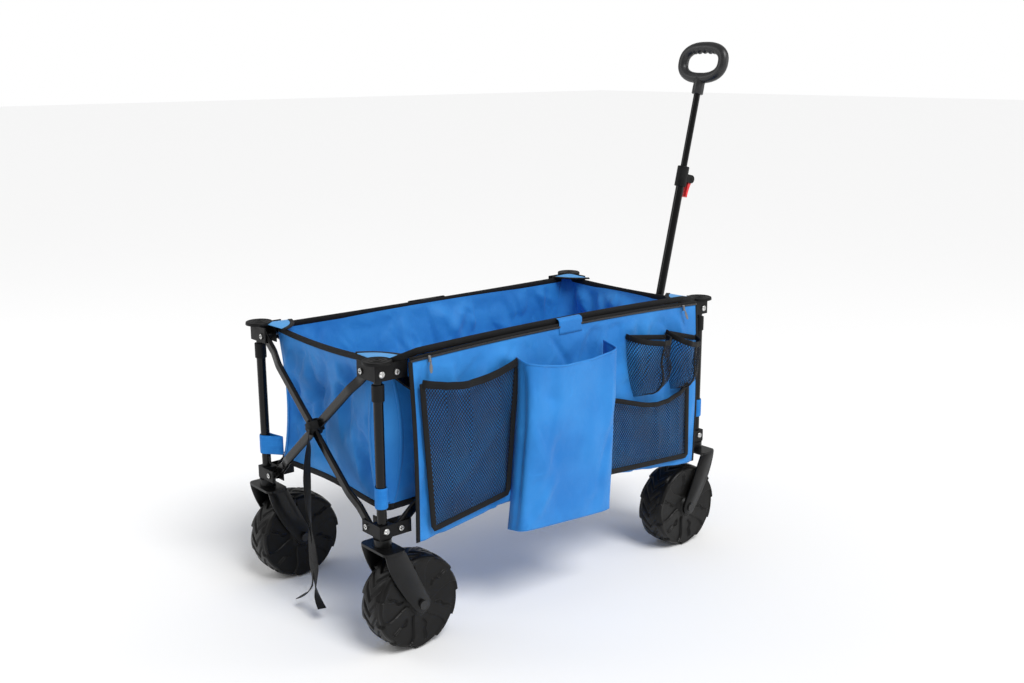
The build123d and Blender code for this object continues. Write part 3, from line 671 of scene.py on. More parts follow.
def creases(a, b, seed, count, depth, length=(0.05, 0.16), width=(0.008, 0.028), lean=0.5):
    """The sum of many soft ridges: each falls off as a bell curve across and along its line."""
    draw = np.random.default_rng(seed)
    total = np.zeros(np.broadcast(a, b).shape)
    low_a, high_a, low_b, high_b = np.min(a), np.max(a), np.min(b), np.max(b)
    for _ in range(count):
        at_a, at_b = draw.uniform(low_a, high_a), draw.uniform(low_b, high_b)
        turn = draw.normal(0.0, lean)
        long, wide = draw.uniform(*length), draw.uniform(*width)
        height = depth * draw.uniform(0.4, 1.0) * draw.choice([-1.0, 1.0])
        along = (b - at_b) * math.cos(turn) + (a - at_a) * math.sin(turn)
        aside = (a - at_a) * math.cos(turn) - (b - at_b) * math.sin(turn)
        total += height * np.exp(-(aside / wide) ** 2 - (along / long) ** 2)
    return total


def grid(size_u, size_v, step=STEP):
    """Parameters u and v, each from 0 to 1, as rows and columns about step apart."""
    v = np.linspace(0, 1, max(3, int(size_v / step)))[:, None]
    u = np.linspace(0, 1, max(3, int(size_u / step)))[None, :]
    return u, v


def thicken(piece, thickness=CLOTH_THICK):
    """A solidify modifier makes the single sheet a closed skin."""
    solid = piece.modifiers.new("skin", "SOLIDIFY")
    solid.thickness = thickness
    solid.offset = 0.0
    return piece


def hang(piece, body, folding):
    """Ride a soft piece on a body and, where it has a folding, give it its own copy of its mesh."""
    carry(piece, body)
    if folding:
        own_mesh(piece)


def sew(cloth, points, trims, body, folding, held, rests_on, slot="tub_fabric", trim_slot="webbing", node=None):
    hang(cloth, body, folding)
    for trim in trims:
        hang(trim, body, folding)
    if node:
        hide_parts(node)
    across = np.linalg.norm(np.diff(points, axis=1), axis=2).sum(1).max()
    along = np.linalg.norm(np.diff(points, axis=0), axis=2).sum(0).max()
    one = np.cross(points[:-1, 1:] - points[:-1, :-1], points[1:, :-1] - points[:-1, :-1])
    two = np.cross(points[:-1, 1:] - points[1:, 1:], points[1:, :-1] - points[1:, 1:])
    area = (np.linalg.norm(one, axis=2).sum() + np.linalg.norm(two, axis=2).sum()) / 2
    flat = (round(float(across), 3), round(float(along), 3))
    area = min(round(float(area), 4), round(flat[0] * flat[1], 4))


def inside(share, margin):
    """1 away from both ends of a share from 0 to 1, with a smooth fade to 0 at each."""
    return smooth(share, 0, margin) * smooth(1 - share, 0, margin)


rear_lo, rear_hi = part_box("tub_rear_wall")
side_lo, side_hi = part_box("tub_right_wall")
TUB_X = -rear_lo.x
TUB_Y = -side_lo.y
END_HALF = rear_hi.y
SIDE_HALF = side_hi.x
TUB_LOW = rear_lo.z + 0.001
TUB_HIGH = rear_hi.z
POST_X, POST_Y, _ = -box_middle("inner_tube_rear_right")
FOLD_ANGLE = math.radians(34.5)
BAR_RUN = 2 * (POST_Y - PIN_INSET)
BAR_RISE = UPPER_PIN_Z - LOWER_PIN_Z
BAR_SLOPE = math.atan2(BAR_RISE, BAR_RUN)
BAR_LENGTH = math.hypot(BAR_RUN, BAR_RISE)
FOLD_SHIFT = BAR_LENGTH * (math.cos(BAR_SLOPE) - math.cos(BAR_SLOPE + FOLD_ANGLE))
SIDE_KEEP = 1 - 2 * FOLD_SHIFT / (2 * SIDE_HALF)
END_KEEP = 1 - FOLD_SHIFT / (2 * END_HALF)
SIDE_FOLD = ((1, 0, 0), (-SIDE_HALF, 0, 0), SIDE_KEEP)
END_FOLD = ((0, 1, 0), (0, -END_HALF, 0), END_KEEP)
CORNER_PULL = 0.028
RAIL_Y = 0.2385
RAIL_Z = 0.5860
RAIL_HALF = 0.372
RAIL_CREST = 0.006


def pull_in(v):
    """How far the tub's corner is drawn in from its post: most at mid height."""
    return CORNER_PULL * np.sin(math.pi * np.clip(v, 0, 1) ** 0.9) ** 0.9


def plain_wall(half, seed, sag):
    """A hanging wall as (across, outwards, up): it narrows at mid height, bows in and creases."""
    u, v = grid(2 * half, TUB_HIGH - TUB_LOW)
    across = (2 * u - 1) * (half - pull_in(v))
    top = TUB_HIGH + 0.001 - sag * (1 - (2 * u - 1) ** 2)
    bottom = TUB_LOW + 0.004 * np.cos((2 * u - 1) * math.pi)
    up = bottom + (top - bottom) * v
    edge = inside(u, 0.06)
    belly = 0.012 * np.sin(math.pi * v) * np.sin(math.pi * u)
    ridge = creases(across, up, seed, 56, 0.0125)
    ridge += creases(across, up, seed + 1, 70, 0.0032, (0.02, 0.06), (0.004, 0.011), 0.9)
    out = -belly + np.minimum(ridge, 0.0045) * edge * smooth(1 - v, 0.04, 0.16) * smooth(v, 0.02, 0.16)
    return across, out, up


walls = {}
for end, sx, sag, seed in (("rear", -1, 0.008, 11), ("front", 1, 0.004, 23)):
    across, out, up = plain_wall(END_HALF, seed, sag)
    walls[end] = stacked(sx * (TUB_X + out), across, up)
across, out, up = plain_wall(SIDE_HALF, 37, 0.002)
walls["left"] = stacked(across, TUB_Y + out + 0.004 * smooth(up, 0.5, 0.57), up)
across, out, up = plain_wall(SIDE_HALF, 53, 0.0)
walls["right"] = stacked(across, -(TUB_Y + out), up)

HEM_WIDTH = 0.013
RAIL_HEM_WIDTH = 0.014
HEM_THICK = 0.0032


def ribbon(name, path, facing, width, thick, material):
    """A flat strip with rounded edges along a path: its broad face looks along facing."""
    path = np.asarray(path, float)
    facing = np.broadcast_to(np.asarray(facing, float), path.shape)
    tangent = np.gradient(path, axis=0)
    tangent = tangent / np.linalg.norm(tangent, axis=1, keepdims=True)
    side = np.cross(tangent, facing)
    side = side / np.linalg.norm(side, axis=1, keepdims=True)
    flat = np.cross(side, tangent)
    a = np.array([-1, -0.96, -0.86, 0.86, 0.96, 1, 0.96, 0.86, -0.86, -0.96]) * width / 2
    b = np.array([0, 0.6, 1, 1, 0.6, 0, -0.6, -1, -1, -0.6]) * thick / 2
    points = path[:, None] + a[None, :, None] * side[:, None] + b[None, :, None] * flat[:, None]
    return surface(name, points, material, wrap=True, ends=True)


STITCH_PITCH = 0.0042
STITCH_ROWS = 0.0085


def woven_tape(name, base, pale, rib_pitch):
    """Ribbed tape: slanted ribs and a row of stitches near each edge, on the UVs."""
    material, wire, shader = finish(name, Sheen_Weight=0.03, Specular_IOR_Level=0.18)
    map_u, map_v = wire.uv("X"), wire.uv("Y")
    rib = (map_v + map_u * 0.5).wave(rib_pitch)
    stitch = map_v.wave(STITCH_PITCH).between(-0.2, 0.2) * map_u.wave(STITCH_ROWS).between(0.93, 0.98)
    cloud = wire.noise(wire.place(), 60.0).between(0.35, 0.7)
    (cloud * 0.35 + rib * 0.12 + stitch * 0.5 + 0.1).tint(base, pale).into(shader.inputs["Base Color"])
    (0.62 + rib * 0.06 + cloud * 0.08).into(shader.inputs["Roughness"])
    raise_grain(wire, shader, rib * 0.5 + stitch * 1.0, 0.5, 0.0005)
    return material


binding = woven_tape("black_binding", (0.004, 0.004, 0.0043, 1.0), (0.013, 0.013, 0.014, 1.0), 0.0013)


def thin(row, step=4):
    """Every few points of a row, with its last point kept."""
    return np.concatenate([row[:-1:step], row[-1:]])


HEM_DROP = (0, 0, HEM_WIDTH / 2 - 0.001)


def edged_wall(name, points, body, folding, face, top_row, top_width=HEM_WIDTH):
    """One wall of the tub with a binding hem along its top and its bottom."""
    wall = thicken(surface(f"tub_{name}_cloth", points, azure))
    hems = [ribbon(f"tub_{name}_{label}", thin(row), face, width, HEM_THICK, binding)
            for label, row, width in (("top_hem", top_row, top_width), ("bottom_hem", points[0], HEM_WIDTH))]
    sew(wall, points, hems, body, folding, "hung", [body.replace("upper", "upper_bracket")],
        node=f"tub_{name}_wall")


for name, body, folding, face in (("rear", "upper_rear_right", END_FOLD, (-1, 0, 0)),
                                  ("front", "upper_front_right", END_FOLD, (1, 0, 0)),
                                  ("left", "upper_rear_left", SIDE_FOLD, (0, 1, 0))):
    edged_wall(name, walls[name], body, folding, face, walls[name][-1] - HEM_DROP)

# The near wall's top is carried up and out over the rail to the organiser's top edge.
near = walls["right"]
roll = np.linspace(0, 1, 12)[1:, None]
rim = near[-1][None]
shrink = 1 - (1 - RAIL_HALF / SIDE_HALF) * smooth(roll, 0.0, 1.0)
crest = RAIL_CREST * (1 - (rim[..., 0] / SIDE_HALF) ** 2)
roll_x = rim[..., 0] * shrink
roll_y = rim[..., 1] - (RAIL_Y - TUB_Y) * np.sin(roll * math.pi / 2)
roll_z = rim[..., 2] + (RAIL_Z - TUB_HIGH + crest) * np.sin(roll * math.pi / 2) ** 1.5
near = np.concatenate([near, stacked(roll_x, roll_y, roll_z)])
hem_end = np.array([[0.421, -0.2235, 0.5720], [0.404, -0.2300, 0.5760], [0.388, -0.2350, 0.5810]])
near_hem = np.concatenate([hem_end * (-1, 1, 1), near[-1], hem_end[::-1]])
edged_wall("right", near, "upper_rear_right", SIDE_FOLD, (0, -1, 0), near_hem, RAIL_HEM_WIDTH)

# ---- tub corners and gussets -------------------------------------------------------------------
# Each corner of the tub is a rounded upright panel, drawn in from the post. A flat gusset
# under the cap holds it to the bracket, with black binding along its inner edge.
GUSSET_X = 0.066
GUSSET_Y = 0.086
CORNER_LAP = 0.007
GUSSET_LIFT = 0.0028
# The gussets' cloth is a paler copy of the azure: painted light, as if their flat tops were lit from above.
lit_gusset_azure = azure_cloth("azure_gusset", (0.120, 0.400, 0.800, 1.0), (0.060, 0.320, 0.720, 1.0))


def corner_cloth(sx, sy):
    """A quarter turn between two wall edges: a quadratic curve whose corner is drawn in."""
    u, v = grid(0.06, TUB_HIGH - TUB_LOW)
    pull = pull_in(v)
    up = TUB_LOW - 0.004 + (TUB_HIGH + 0.005 - TUB_LOW) * v
    end_a = (TUB_X + 0.0008, END_HALF - pull - CORNER_LAP)
    end_b = (SIDE_HALF - pull - CORNER_LAP, TUB_Y + 0.0008)
    knee = (TUB_X - pull * 0.30, TUB_Y - pull * 0.30)
    share = [(1 - u) ** 2, 2 * u * (1 - u), u ** 2]
    x = share[0] * end_a[0] + share[1] * knee[0] + share[2] * end_b[0]
    y = share[0] * end_a[1] + share[1] * knee[1] + share[2] * end_b[1]
    return stacked(sx * x, sy * y, up)


def gusset_cloth(sx, sy, lift):
    """A triangle from the cap out to both hems, with its inner edge bowed inwards."""
    u, v = grid(0.10, 0.09)
    tip = np.array([POST_X - 0.004, POST_Y - 0.004])
    on_end = np.array([POST_X - 0.010, POST_Y - GUSSET_Y])
    on_side = np.array([POST_X - GUSSET_X, POST_Y - 0.012])
    rim_line = (1 - u)[..., None] * on_end + u[..., None] * on_side
    rim_line = rim_line - 0.007 * np.sin(math.pi * u)[..., None] * np.array([1.0, 1.0])
    flat = tip + (rim_line - tip) * v[..., None]
    z = TUB_HIGH + lift + 0.003 * np.sin(math.pi * v) * np.sin(math.pi * u)
    return stacked(sx * flat[..., 0], sy * flat[..., 1], z)


for corner, (sx, sy) in CORNERS.items():
    fixing = (f"upper_{corner}", None)
    bracket = [f"upper_bracket_{corner}"]
    points = corner_cloth(sx, sy)
    cloth = thicken(surface(f"tub_corner_{corner}", points, azure))
    hem = ribbon(f"tub_corner_hem_{corner}", points[0], (sx, sy, 0), HEM_WIDTH, HEM_THICK, binding)
    sew(cloth, points, [hem], *fixing, "hung", bracket)
    points = gusset_cloth(sx, sy, GUSSET_LIFT)
    gusset = thicken(surface(f"corner_gusset_{corner}", points, lit_gusset_azure))
    edge = ribbon(f"gusset_binding_{corner}", thin(points[-1], 2), (0, 0, 1), 0.010, 0.003, binding)
    sew(gusset, points, [edge], *fixing, "stretched", bracket)

# ---- post loops --------------------------------------------------------------------------------
# A short loop of azure webbing ties each corner of the tub to its post near the bottom.
LOOP_WIDTH = 0.041
LOOP_THICK = 0.0018
LOOP_RADIUS = 0.0116
LOOP_REACH = 0.044
LOOP_Z = {"rear_right": 0.3145, "rear_left": 0.312, "front_right": 0.316, "front_left": 0.316}
azure_web = woven_tape("azure_webbing", (0.012, 0.175, 0.56, 1.0), (0.032, 0.27, 0.72, 1.0), 0.0022)
for corner, (sx, sy) in CORNERS.items():
    inwards = np.array([-sx * 0.42, -sy * 0.9075])
    aside = np.array([-inwards[1], inwards[0]])
    angle = np.linspace(-math.radians(112), math.radians(112), 26)[:, None]
    around = LOOP_RADIUS * (-np.cos(angle) * inwards + np.sin(angle) * aside)
    run = np.linspace(1.0, 0.35, 4)[:, None]
    along, apart = run * LOOP_REACH * inwards, (0.0012 + 0.010 * (1 - run)) * aside
    plan = np.concatenate([along - apart, around, (along + apart)[::-1]]) + (sx * POST_X, sy * POST_Y)
    path = stacked(plan[:, 0], plan[:, 1], LOOP_Z[corner])
    facing = np.cross(np.gradient(path, axis=0), (0, 0, 1))
    loop = ribbon(f"post_loop_{corner}", path, facing, LOOP_WIDTH, LOOP_THICK, azure_web)
    carry(loop, f"upper_{corner}")

# ---- tub floor ---------------------------------------------------------------------------------
# Three padded boards sewn into the floor cloth, each a little above the next, so that they
# stack when the wagon folds. The cloth sags slightly over each board.
floor_blue = azure_cloth("azure_floor", (0.030, 0.250, 0.70, 1.0), (0.013, 0.165, 0.54, 1.0))
FLOOR_CRUMPLE = 0.0009
FLOOR_REACH = 0.0042
BOARD_THICK = 0.0032
for name, wall, body, seed in (("rear", "rear", "upper_rear_right", 71),
                               ("middle", "right", "right_middle_upper", 72),
                               ("front", "front", "upper_front_right", 73)):
    lo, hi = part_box(f"tub_floor_{name}")
    u, v = grid(hi.x - lo.x, hi.y - lo.y, 0.006)
    rear_x = lo.x - (FLOOR_REACH if name == "rear" else 0.0)
    front_x = hi.x + (FLOOR_REACH if name == "front" else 0.0)
    x = rear_x + (front_x - rear_x) * u
    y = (lo.y - FLOOR_REACH) + (hi.y - lo.y + 2 * FLOOR_REACH) * v
    near_side = 1 - smooth(np.minimum(v, 1 - v), 0.0, 0.05)
    outer = {"rear": 1 - smooth(u, 0.0, 0.06), "middle": 0 * u, "front": smooth(1 - u, 0.0, 0.06) - 1}[name]
    x = x + 0.006 * outer * near_side
    edge = np.minimum(np.minimum(u, 1 - u), np.minimum(v, 1 - v))
    rise = creases(x, y, seed, 40, FLOOR_CRUMPLE, (0.03, 0.1), (0.008, 0.03), 1.5)
    z = (lo.z + hi.z) / 2 + rise * smooth(edge, 0.0, 0.05) - 0.0012 * (1 - smooth(edge, 0.0, 0.03))
    points = stacked(x, y, z)
    board = thicken(surface(f"floor_board_{name}", points, floor_blue), BOARD_THICK)
    sew(board, points, [], body, END_FOLD, "laid", [f"tub_{wall}_wall"], "floor_fabric",
        node=f"tub_floor_{name}")

# ---- organiser panel ---------------------------------------------------------------------------
# A panel of the same azure cloth zips on outside the near rail and hangs over the bars. Its
# lower edge waves, its ends are bound, and a coil zip runs along its top.
panel_lo, panel_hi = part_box("organiser_panel")
PANEL_Y = panel_hi.y - 0.0015
PANEL_KEEP = 1 - 2 * FOLD_SHIFT / (panel_hi.x - panel_lo.x)
PANEL_FOLD = ((1, 0, 0), (panel_lo.x, 0, 0), PANEL_KEEP)
PANEL_BODY = "upper_rear_right"
PANEL_TOP = 0.572
PANEL_ARCH = 0.009
HEM_X = [-0.392, -0.330, -0.250, -0.146, 0.000, 0.150, 0.242, 0.320, 0.400]
HEM_Z = [0.217, 0.221, 0.232, 0.246, 0.240, 0.231, 0.217, 0.209, 0.201]


def soft_line(x, knots, heights):
    """A smooth line through knots: straight runs averaged over a short stretch."""
    spread = np.linspace(-0.03, 0.03, 9)
    return sum(np.interp(x + k, knots, heights) for k in spread) / len(spread)


def panel_height(x, v):
    """The panel's height at a place along it, v from its hem to its top."""
    low = soft_line(x, HEM_X, HEM_Z)
    high = PANEL_TOP + PANEL_ARCH * (1 - (x / 0.39) ** 2)
    return low + (high - low) * v


u, v = grid(panel_hi.x - panel_lo.x, 0.36)
panel_left = panel_lo.x + 0.008 * (1 - v)
panel_right = panel_hi.x + 0.004 * (1 - v)
panel_x = panel_left + (panel_right - panel_left) * u
panel_z = panel_height(panel_x, v)
edge = inside(u, 0.03) * smooth(1 - v, 0.022, 0.09)
ridge = creases(panel_x, panel_z, 91, 50, 0.0085, (0.04, 0.12), (0.007, 0.022), 0.6)
ridge += creases(panel_x, panel_z, 92, 44, 0.0030, (0.02, 0.05), (0.004, 0.009), 1.2)
panel_y = PANEL_Y - 0.003 - 0.006 * np.sin(math.pi * v) - np.maximum(ridge * edge, -0.004)
panel_points = stacked(panel_x, panel_y, panel_z)
panel = thicken(surface("organiser_cloth", panel_points, azure))

zip_tape = woven_tape("zip_tape", (0.004, 0.004, 0.0045, 1.0), (0.012, 0.012, 0.013, 1.0), 0.0009)
top_row = thin(panel_points[-1])
band = ribbon("zip_tape_top", top_row + (0, 0.0010, 0.0010), (0, -1, 0), 0.015, 0.0026, zip_tape)
COIL_PITCH = 0.0016
coil, coil_wire, coil_shader = finish("zip_coil", Specular_IOR_Level=0.6)
coil_tooth = coil_wire.uv("Y").wave(COIL_PITCH)
coil_tooth.between(-0.3, 0.5).tint((0.008, 0.008, 0.009, 1.0), (0.05, 0.05, 0.052, 1.0)).into(
    coil_shader.inputs["Base Color"])
(0.3 + coil_tooth * 0.08).into(coil_shader.inputs["Roughness"])
raise_grain(coil_wire, coil_shader, coil_tooth, 0.8, 0.0008)
teeth = ribbon("zip_coil_top", top_row + (0, -0.0012, 0.0010), (0, -1, 0), 0.0045, 0.0022, coil)
rear_end = ribbon("panel_binding_rear", thin(panel_points[:, 0]), (0, -1, 0), 0.009, 0.003, binding)
front_end = ribbon("panel_binding_front", thin(panel_points[:, -1]), (0, -1, 0), 0.006, 0.003, binding)
panel_trim = [band, teeth, rear_end, front_end]
sew(panel, panel_points, panel_trim, PANEL_BODY, PANEL_FOLD, "hung", ["right_middle_bracket_upper"],
    node="organiser_panel")

# ---- net pockets -------------------------------------------------------------------------------
# Two flat pockets of black warp-knit net, pleated and bound all round in black tape, with a
# sagging elastic top. The blue cloth behind shows through the net's diagonal holes.
NET_PITCH = 0.0105
NET_SLANT = 0.62
net, net_wire, net_shader = finish("black_net", Roughness=0.6, Specular_IOR_Level=0.3)
net_u, net_v = net_wire.uv("X"), net_wire.uv("Y") * NET_SLANT
net_cell = (net_u + net_v).wave(NET_PITCH) * (net_u - net_v).wave(NET_PITCH)
net_hole = net_cell.size().between(0.30, 0.42)
net_cloud = net_wire.noise(net_wire.place(), 14.0).between(0.35, 0.7)
net_cloud.tint((0.003, 0.0035, 0.005, 1.0), (0.008, 0.009, 0.013, 1.0)).into(net_shader.inputs["Base Color"])
(1.0 - net_hole * (0.90 - net_cloud * 0.14)).into(net_shader.inputs["Alpha"])
BIND_WIDTH = 0.012
NET_STEP = 0.004


def pocket_points(left, right, low, high, depth, seed, pleats):
    """A shallow pocket between four edge lines: it stands off the panel most at its mouth."""
    u, v = grid(0.24, 0.30, NET_STEP)
    x = left(v) + (right(v) - left(v)) * u
    z = low(u) + (high(u) - low(u)) * v
    bulge = depth * np.sin(math.pi * u) ** 0.7 * np.sin(math.pi / 2 * np.clip(v * 1.15, 0, 1)) ** 0.8
    folds = sum(0.0035 * np.exp(-((u - at - slant * (1 - v)) / 0.012) ** 2) for at, slant in pleats)
    inner = inside(u, 0.06) * smooth(v, 0, 0.06)
    ridge = creases(x, z, seed, 18, 0.004, (0.03, 0.1), (0.008, 0.02), 0.7) * inner
    back = PANEL_Y - 0.0125
    y = back - bulge - np.maximum(ridge, -0.002) - folds * inner
    return stacked(x, y, z)


def bound_pocket(name, points, mouth_width):
    """A pocket with tape round its sides and bottom and an elastic hem at its mouth."""
    pouch = surface(f"{name}_pouch", points, net)
    outline = np.concatenate([points[::-1, 0], points[0, 1:], points[1:, -1]])
    trims = [ribbon(f"{name}_{label}", thin(line, 3) + (0, -lift, 0), (0, -1, 0), width, thick, binding)
             for label, line, lift, width, thick in (("binding", outline, 0.0012, BIND_WIDTH, 0.0028),
                                                     ("elastic", points[-1], 0.0014, mouth_width, 0.0036))]
    sew(pouch, points, trims, PANEL_BODY, PANEL_FOLD, "stretched", [panel], "webbing")


rear_pocket = pocket_points(
    lambda v: -0.352 - 0.020 * v, lambda v: -0.168 + 0.026 * v,
    lambda u: 0.240 + 0.028 * u, lambda u: 0.530 - 0.016 * np.sin(math.pi * u ** 0.9) + 0.004 * u,
    0.014, 101, [(0.20, 0.05), (0.42, 0.08), (0.78, 0.0)])
bound_pocket("rear_net", rear_pocket, 0.015)
front_pocket = pocket_points(
    lambda v: 0.112 + 0 * v, lambda v: 0.366 - 0.004 * v,
    lambda u: 0.243 - 0.018 * u, lambda u: 0.405 - 0.028 * np.sin(math.pi * u ** 1.3) - 0.010 * u,
    0.012, 103, [(0.55, 0.05), (0.72, 0.02), (0.86, 0.0)])
bound_pocket("front_net", front_pocket, 0.011)

# ---- cup pouches -------------------------------------------------------------------------------
# Two round net pouches with heavy black bindings round their mouths. Each is gathered at the
# bottom, and its empty mouth droops forwards.
def signed_power(wave, power):
    """A wave with its size raised to a power and its sign kept."""
    return np.sign(wave) * abs(wave) ** power


def pouch_points(x0, x1, low, mouth, depth, squareness, floor_share, droop, taper, rows=70, columns=90):
    """A pouch whose plan is half a superellipse standing on the panel, rounded in at its floor."""
    v = np.linspace(0, 1, rows)[:, None]
    t = np.linspace(-math.pi / 2, math.pi / 2, columns)[None, :]
    power = 2 / squareness
    round_in = np.sqrt(np.clip(1 - (1 - np.clip(v / floor_share, 0, 1)) ** 2, 0, 1))
    spread = (x1 - x0) / 2 * (1 - taper * (1 - v) ** 2.2)
    x = (x0 + x1) / 2 + spread * signed_power(np.sin(t), power)
    out = abs(np.cos(t)) ** power
    y = PANEL_Y - 0.0100 - depth * out * round_in
    top = mouth(np.clip((x - x0) / (x1 - x0), 0, 1)) - droop * out
    z = low + (top - low) * v
    return stacked(x, y, z)


for name, x0, x1, low, mouth, droop, seed in (
        ("cup_one", 0.166, 0.288, 0.396, lambda s: 0.535 - 0.018 * s, 0.008, 111),
        ("cup_two", 0.291, 0.386, 0.392, lambda s: 0.526 - 0.026 * s, 0.016, 112)):
    points = pouch_points(x0, x1, low, mouth, 0.046, 2.3, 0.50, droop, 0.42)
    wobble = creases(points[..., 0], points[..., 2], seed, 26, 0.006, (0.02, 0.06), (0.004, 0.009), 0.3)
    points[..., 1] -= wobble * np.clip((PANEL_Y - 0.012 - points[..., 1]) / 0.02, 0, 1)
    cup = surface(f"{name}_pouch", points, net)
    mouth_row = thin(points[-1], 3)
    lean_out = np.cross(np.gradient(mouth_row, axis=0), (0, 0, 1))
    hem = ribbon(f"{name}_binding", mouth_row, lean_out, 0.012, 0.0034, binding)
    seam = ribbon(f"{name}_seam", thin(points[:, 45], 3) + (0, -0.0006, 0), (0, -1, 0), 0.005, 0.0018, binding)
    back_row = np.linspace(points[-1, 0], points[-1, -1], 12) + (0, -0.003, -0.002)
    back_hem = ribbon(f"{name}_back_hem", back_row, (0, -1, 0), 0.011, 0.0028, binding)
    sew(cup, points, [hem, seam, back_hem], PANEL_BODY, PANEL_FOLD, "gathered", [panel], "webbing")

# ---- centre pocket -----------------------------------------------------------------------------
# A deep box pocket of azure cloth with a pleated gusset on each side. Its mouth curves down in
# the middle, with a turned and stitched hem, and its flat bottom hangs below the panel.
centre = pouch_points(-0.142, 0.098, 0.184, lambda s: 0.541 - 0.004 * s, 0.046, 7.0, 0.022, 0.0, 0.0, 96, 190)
share = (centre[..., 0] + 0.142) / 0.243
height = (centre[..., 2] - 0.184) / 0.35
front_part = np.clip((PANEL_Y - 0.012 - centre[..., 1]) / 0.03, 0, 1)
centre[..., 2] -= front_part * (0.014 * np.sin(math.pi * np.clip(share, 0, 1)) + 0.006) * height ** 3
centre[..., 2] -= (1 - height) * (0.016 * share - 0.004)
centre[..., 0] -= np.clip(1 - height, 0, 1) ** 2 * (0.024 * (1 - share) + 0.008 * share)
pleat = np.exp(-((centre[..., 1] - (PANEL_Y - 0.030)) / 0.009) ** 2) * np.sign(share - 0.5)
centre[..., 0] -= 0.006 * pleat * np.sin(math.pi * np.clip(height, 0, 1)) ** 0.5
billow = creases(centre[..., 0], centre[..., 2], 121, 26, 0.0060, (0.05, 0.14), (0.010, 0.03), 0.35)
billow += creases(centre[..., 0], centre[..., 2], 122, 20, 0.0016, (0.02, 0.05), (0.004, 0.010), 1.0)
centre[..., 1] -= front_part * np.clip(billow, -0.005, 0.005) * smooth(height, 0.0, 0.1)
centre_pocket = thicken(surface("centre_pocket_cloth", centre, azure))
hem_row = thin(centre[-1], 2)
out_way = np.cross(np.gradient(hem_row, axis=0), (0, 0, 1))
mouth_hem = ribbon("centre_pocket_hem", hem_row + (0, 0, -0.001), out_way, 0.0044, 0.0030, azure)
sew(centre_pocket, centre, [mouth_hem], PANEL_BODY, PANEL_FOLD, "hung", [panel], trim_slot="tub_fabric")

# ---- rail tab ----------------------------------------------------------------------------------
# A folded tab of azure cloth at the middle of the near side, wrapped over the rail's binding.
TAB_X = 0.009
TAB_WIDTH = 0.064
tab_turn = np.linspace(0, math.pi, 14)
tab_over = stacked(TAB_X, -0.2415 - 0.0085 * np.cos(tab_turn), 0.5915 + 0.0065 * np.sin(tab_turn))
tab_down = stacked(TAB_X, np.linspace(-0.2505, -0.2500, 5), np.linspace(0.566, 0.588, 5))
tab_in = stacked(TAB_X, np.linspace(-0.2320, -0.2300, 4), np.linspace(0.589, 0.580, 4))
tab_path = np.concatenate([tab_down, tab_over, tab_in])
tab_facing = np.cross(np.gradient(tab_path, axis=0), (1, 0, 0))
tab_azure = azure_cloth("azure_tab", AZURE_LIT, AZURE_SHADED)
rail_tab = ribbon("rail_tab", tab_path, tab_facing, TAB_WIDTH, 0.0016, tab_azure)
hang(rail_tab, PANEL_BODY, PANEL_FOLD)

# ---- zip sliders -------------------------------------------------------------------------------
# Nickel-plated sliders with long pierced pulls, one near each end of the organiser's zip.
nickel = clouded("nickel_slider", (0.16, 0.16, 0.165, 1.0), (0.34, 0.34, 0.345, 1.0), 500.0, None,
                 (0.22, 0.2), Metallic=1.0)
PULL_LENGTH = 0.024
PULL_HALF = 0.0046


def zip_slider(name, x, z, tip, body):
    """A slider body, and a pull whose outline waists in below its eye, hanging at an angle."""
    y = PANEL_Y - 0.0105
    t = np.linspace(0, 1, 16)
    path = stacked(x, y + 0.001 * np.cos(t * math.pi), z + 0.006 - 0.012 * t)
    case = ribbon("case", path, (0, -1, 0), 0.0062, 0.0046, nickel)
    along = np.linspace(0, 1, 24)
    waist = 0.25 * np.exp(-((along - 0.25) / 0.12) ** 2)
    half = PULL_HALF * (0.62 + 0.38 * along - waist) * np.sqrt(np.sin(math.pi * (0.06 + 0.9 * along)))
    line = stacked(x + tip * along, y - 0.0035 - 0.003 * along, z - 0.002 - PULL_LENGTH * along)
    ring = full_turn(16)
    points = line[:, None] + stacked(half[:, None] * np.cos(ring), 0.0009 * np.sin(ring), 0.0)
    pull = surface("pull", points, nickel, wrap=True, ends=True, flip=True)
    carry(join(name, [case, pull]), body)


zip_slider("zip_slider_rear", -0.352, 0.5735, -0.001, "upper_rear_right")
zip_slider("zip_slider_front", 0.345, 0.5720, 0.008, "upper_front_right")

# ---- folding strap -----------------------------------------------------------------------------
# Black webbing wrapped round the rear crossing, with two long tails that hang almost to the
# ground. Pulling it lifts the crossing and folds the wagon.
STRAP_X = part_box("fold_strap")[1].x - 0.002
STRAP_WIDTH = 0.024
WRAP_WIDTH = 0.021
CROSS_Z = (LOWER_PIN_Z + UPPER_PIN_Z) / 2
webbing = woven_tape("black_webbing", (0.005, 0.005, 0.005, 1.0), (0.015, 0.015, 0.015, 1.0), 0.0024)
turn = np.linspace(0, 2 * math.pi, 29)
wrap_pieces = []
for k, slant in enumerate((0.5, -0.5)):
    axis_y, axis_z = math.cos(slant), math.sin(slant)
    reach = 0.0128 * signed_power(np.cos(turn), 0.6)
    depth = 0.0155 * signed_power(np.sin(turn), 0.6)
    path = stacked(-POST_X - 0.0063 + depth, reach * axis_y, CROSS_Z + reach * axis_z)
    facing = np.cross(np.gradient(path, axis=0), (0, -axis_z, axis_y))
    wrap_pieces.append(ribbon(f"wrap_{k}", path, facing, WRAP_WIDTH, 0.0022 + 0.0006 * k, webbing))
carry(join("crossing_wrap", wrap_pieces), "strap_hub", "fold_strap")
LONG_TAIL = [(-0.0015, 0.402, 0.2), (-0.0050, 0.360, 1.0), (0.0015, 0.296, 1.25), (-0.0003, 0.233, 0.9),
             (-0.0115, 0.162, 0.1), (-0.0165, 0.118, 0.0), (-0.0110, 0.074, 0.4), (-0.0141, 0.054, 0.9),
             (-0.0245, 0.040, 1.15), (-0.0345, 0.0305, 1.25)]
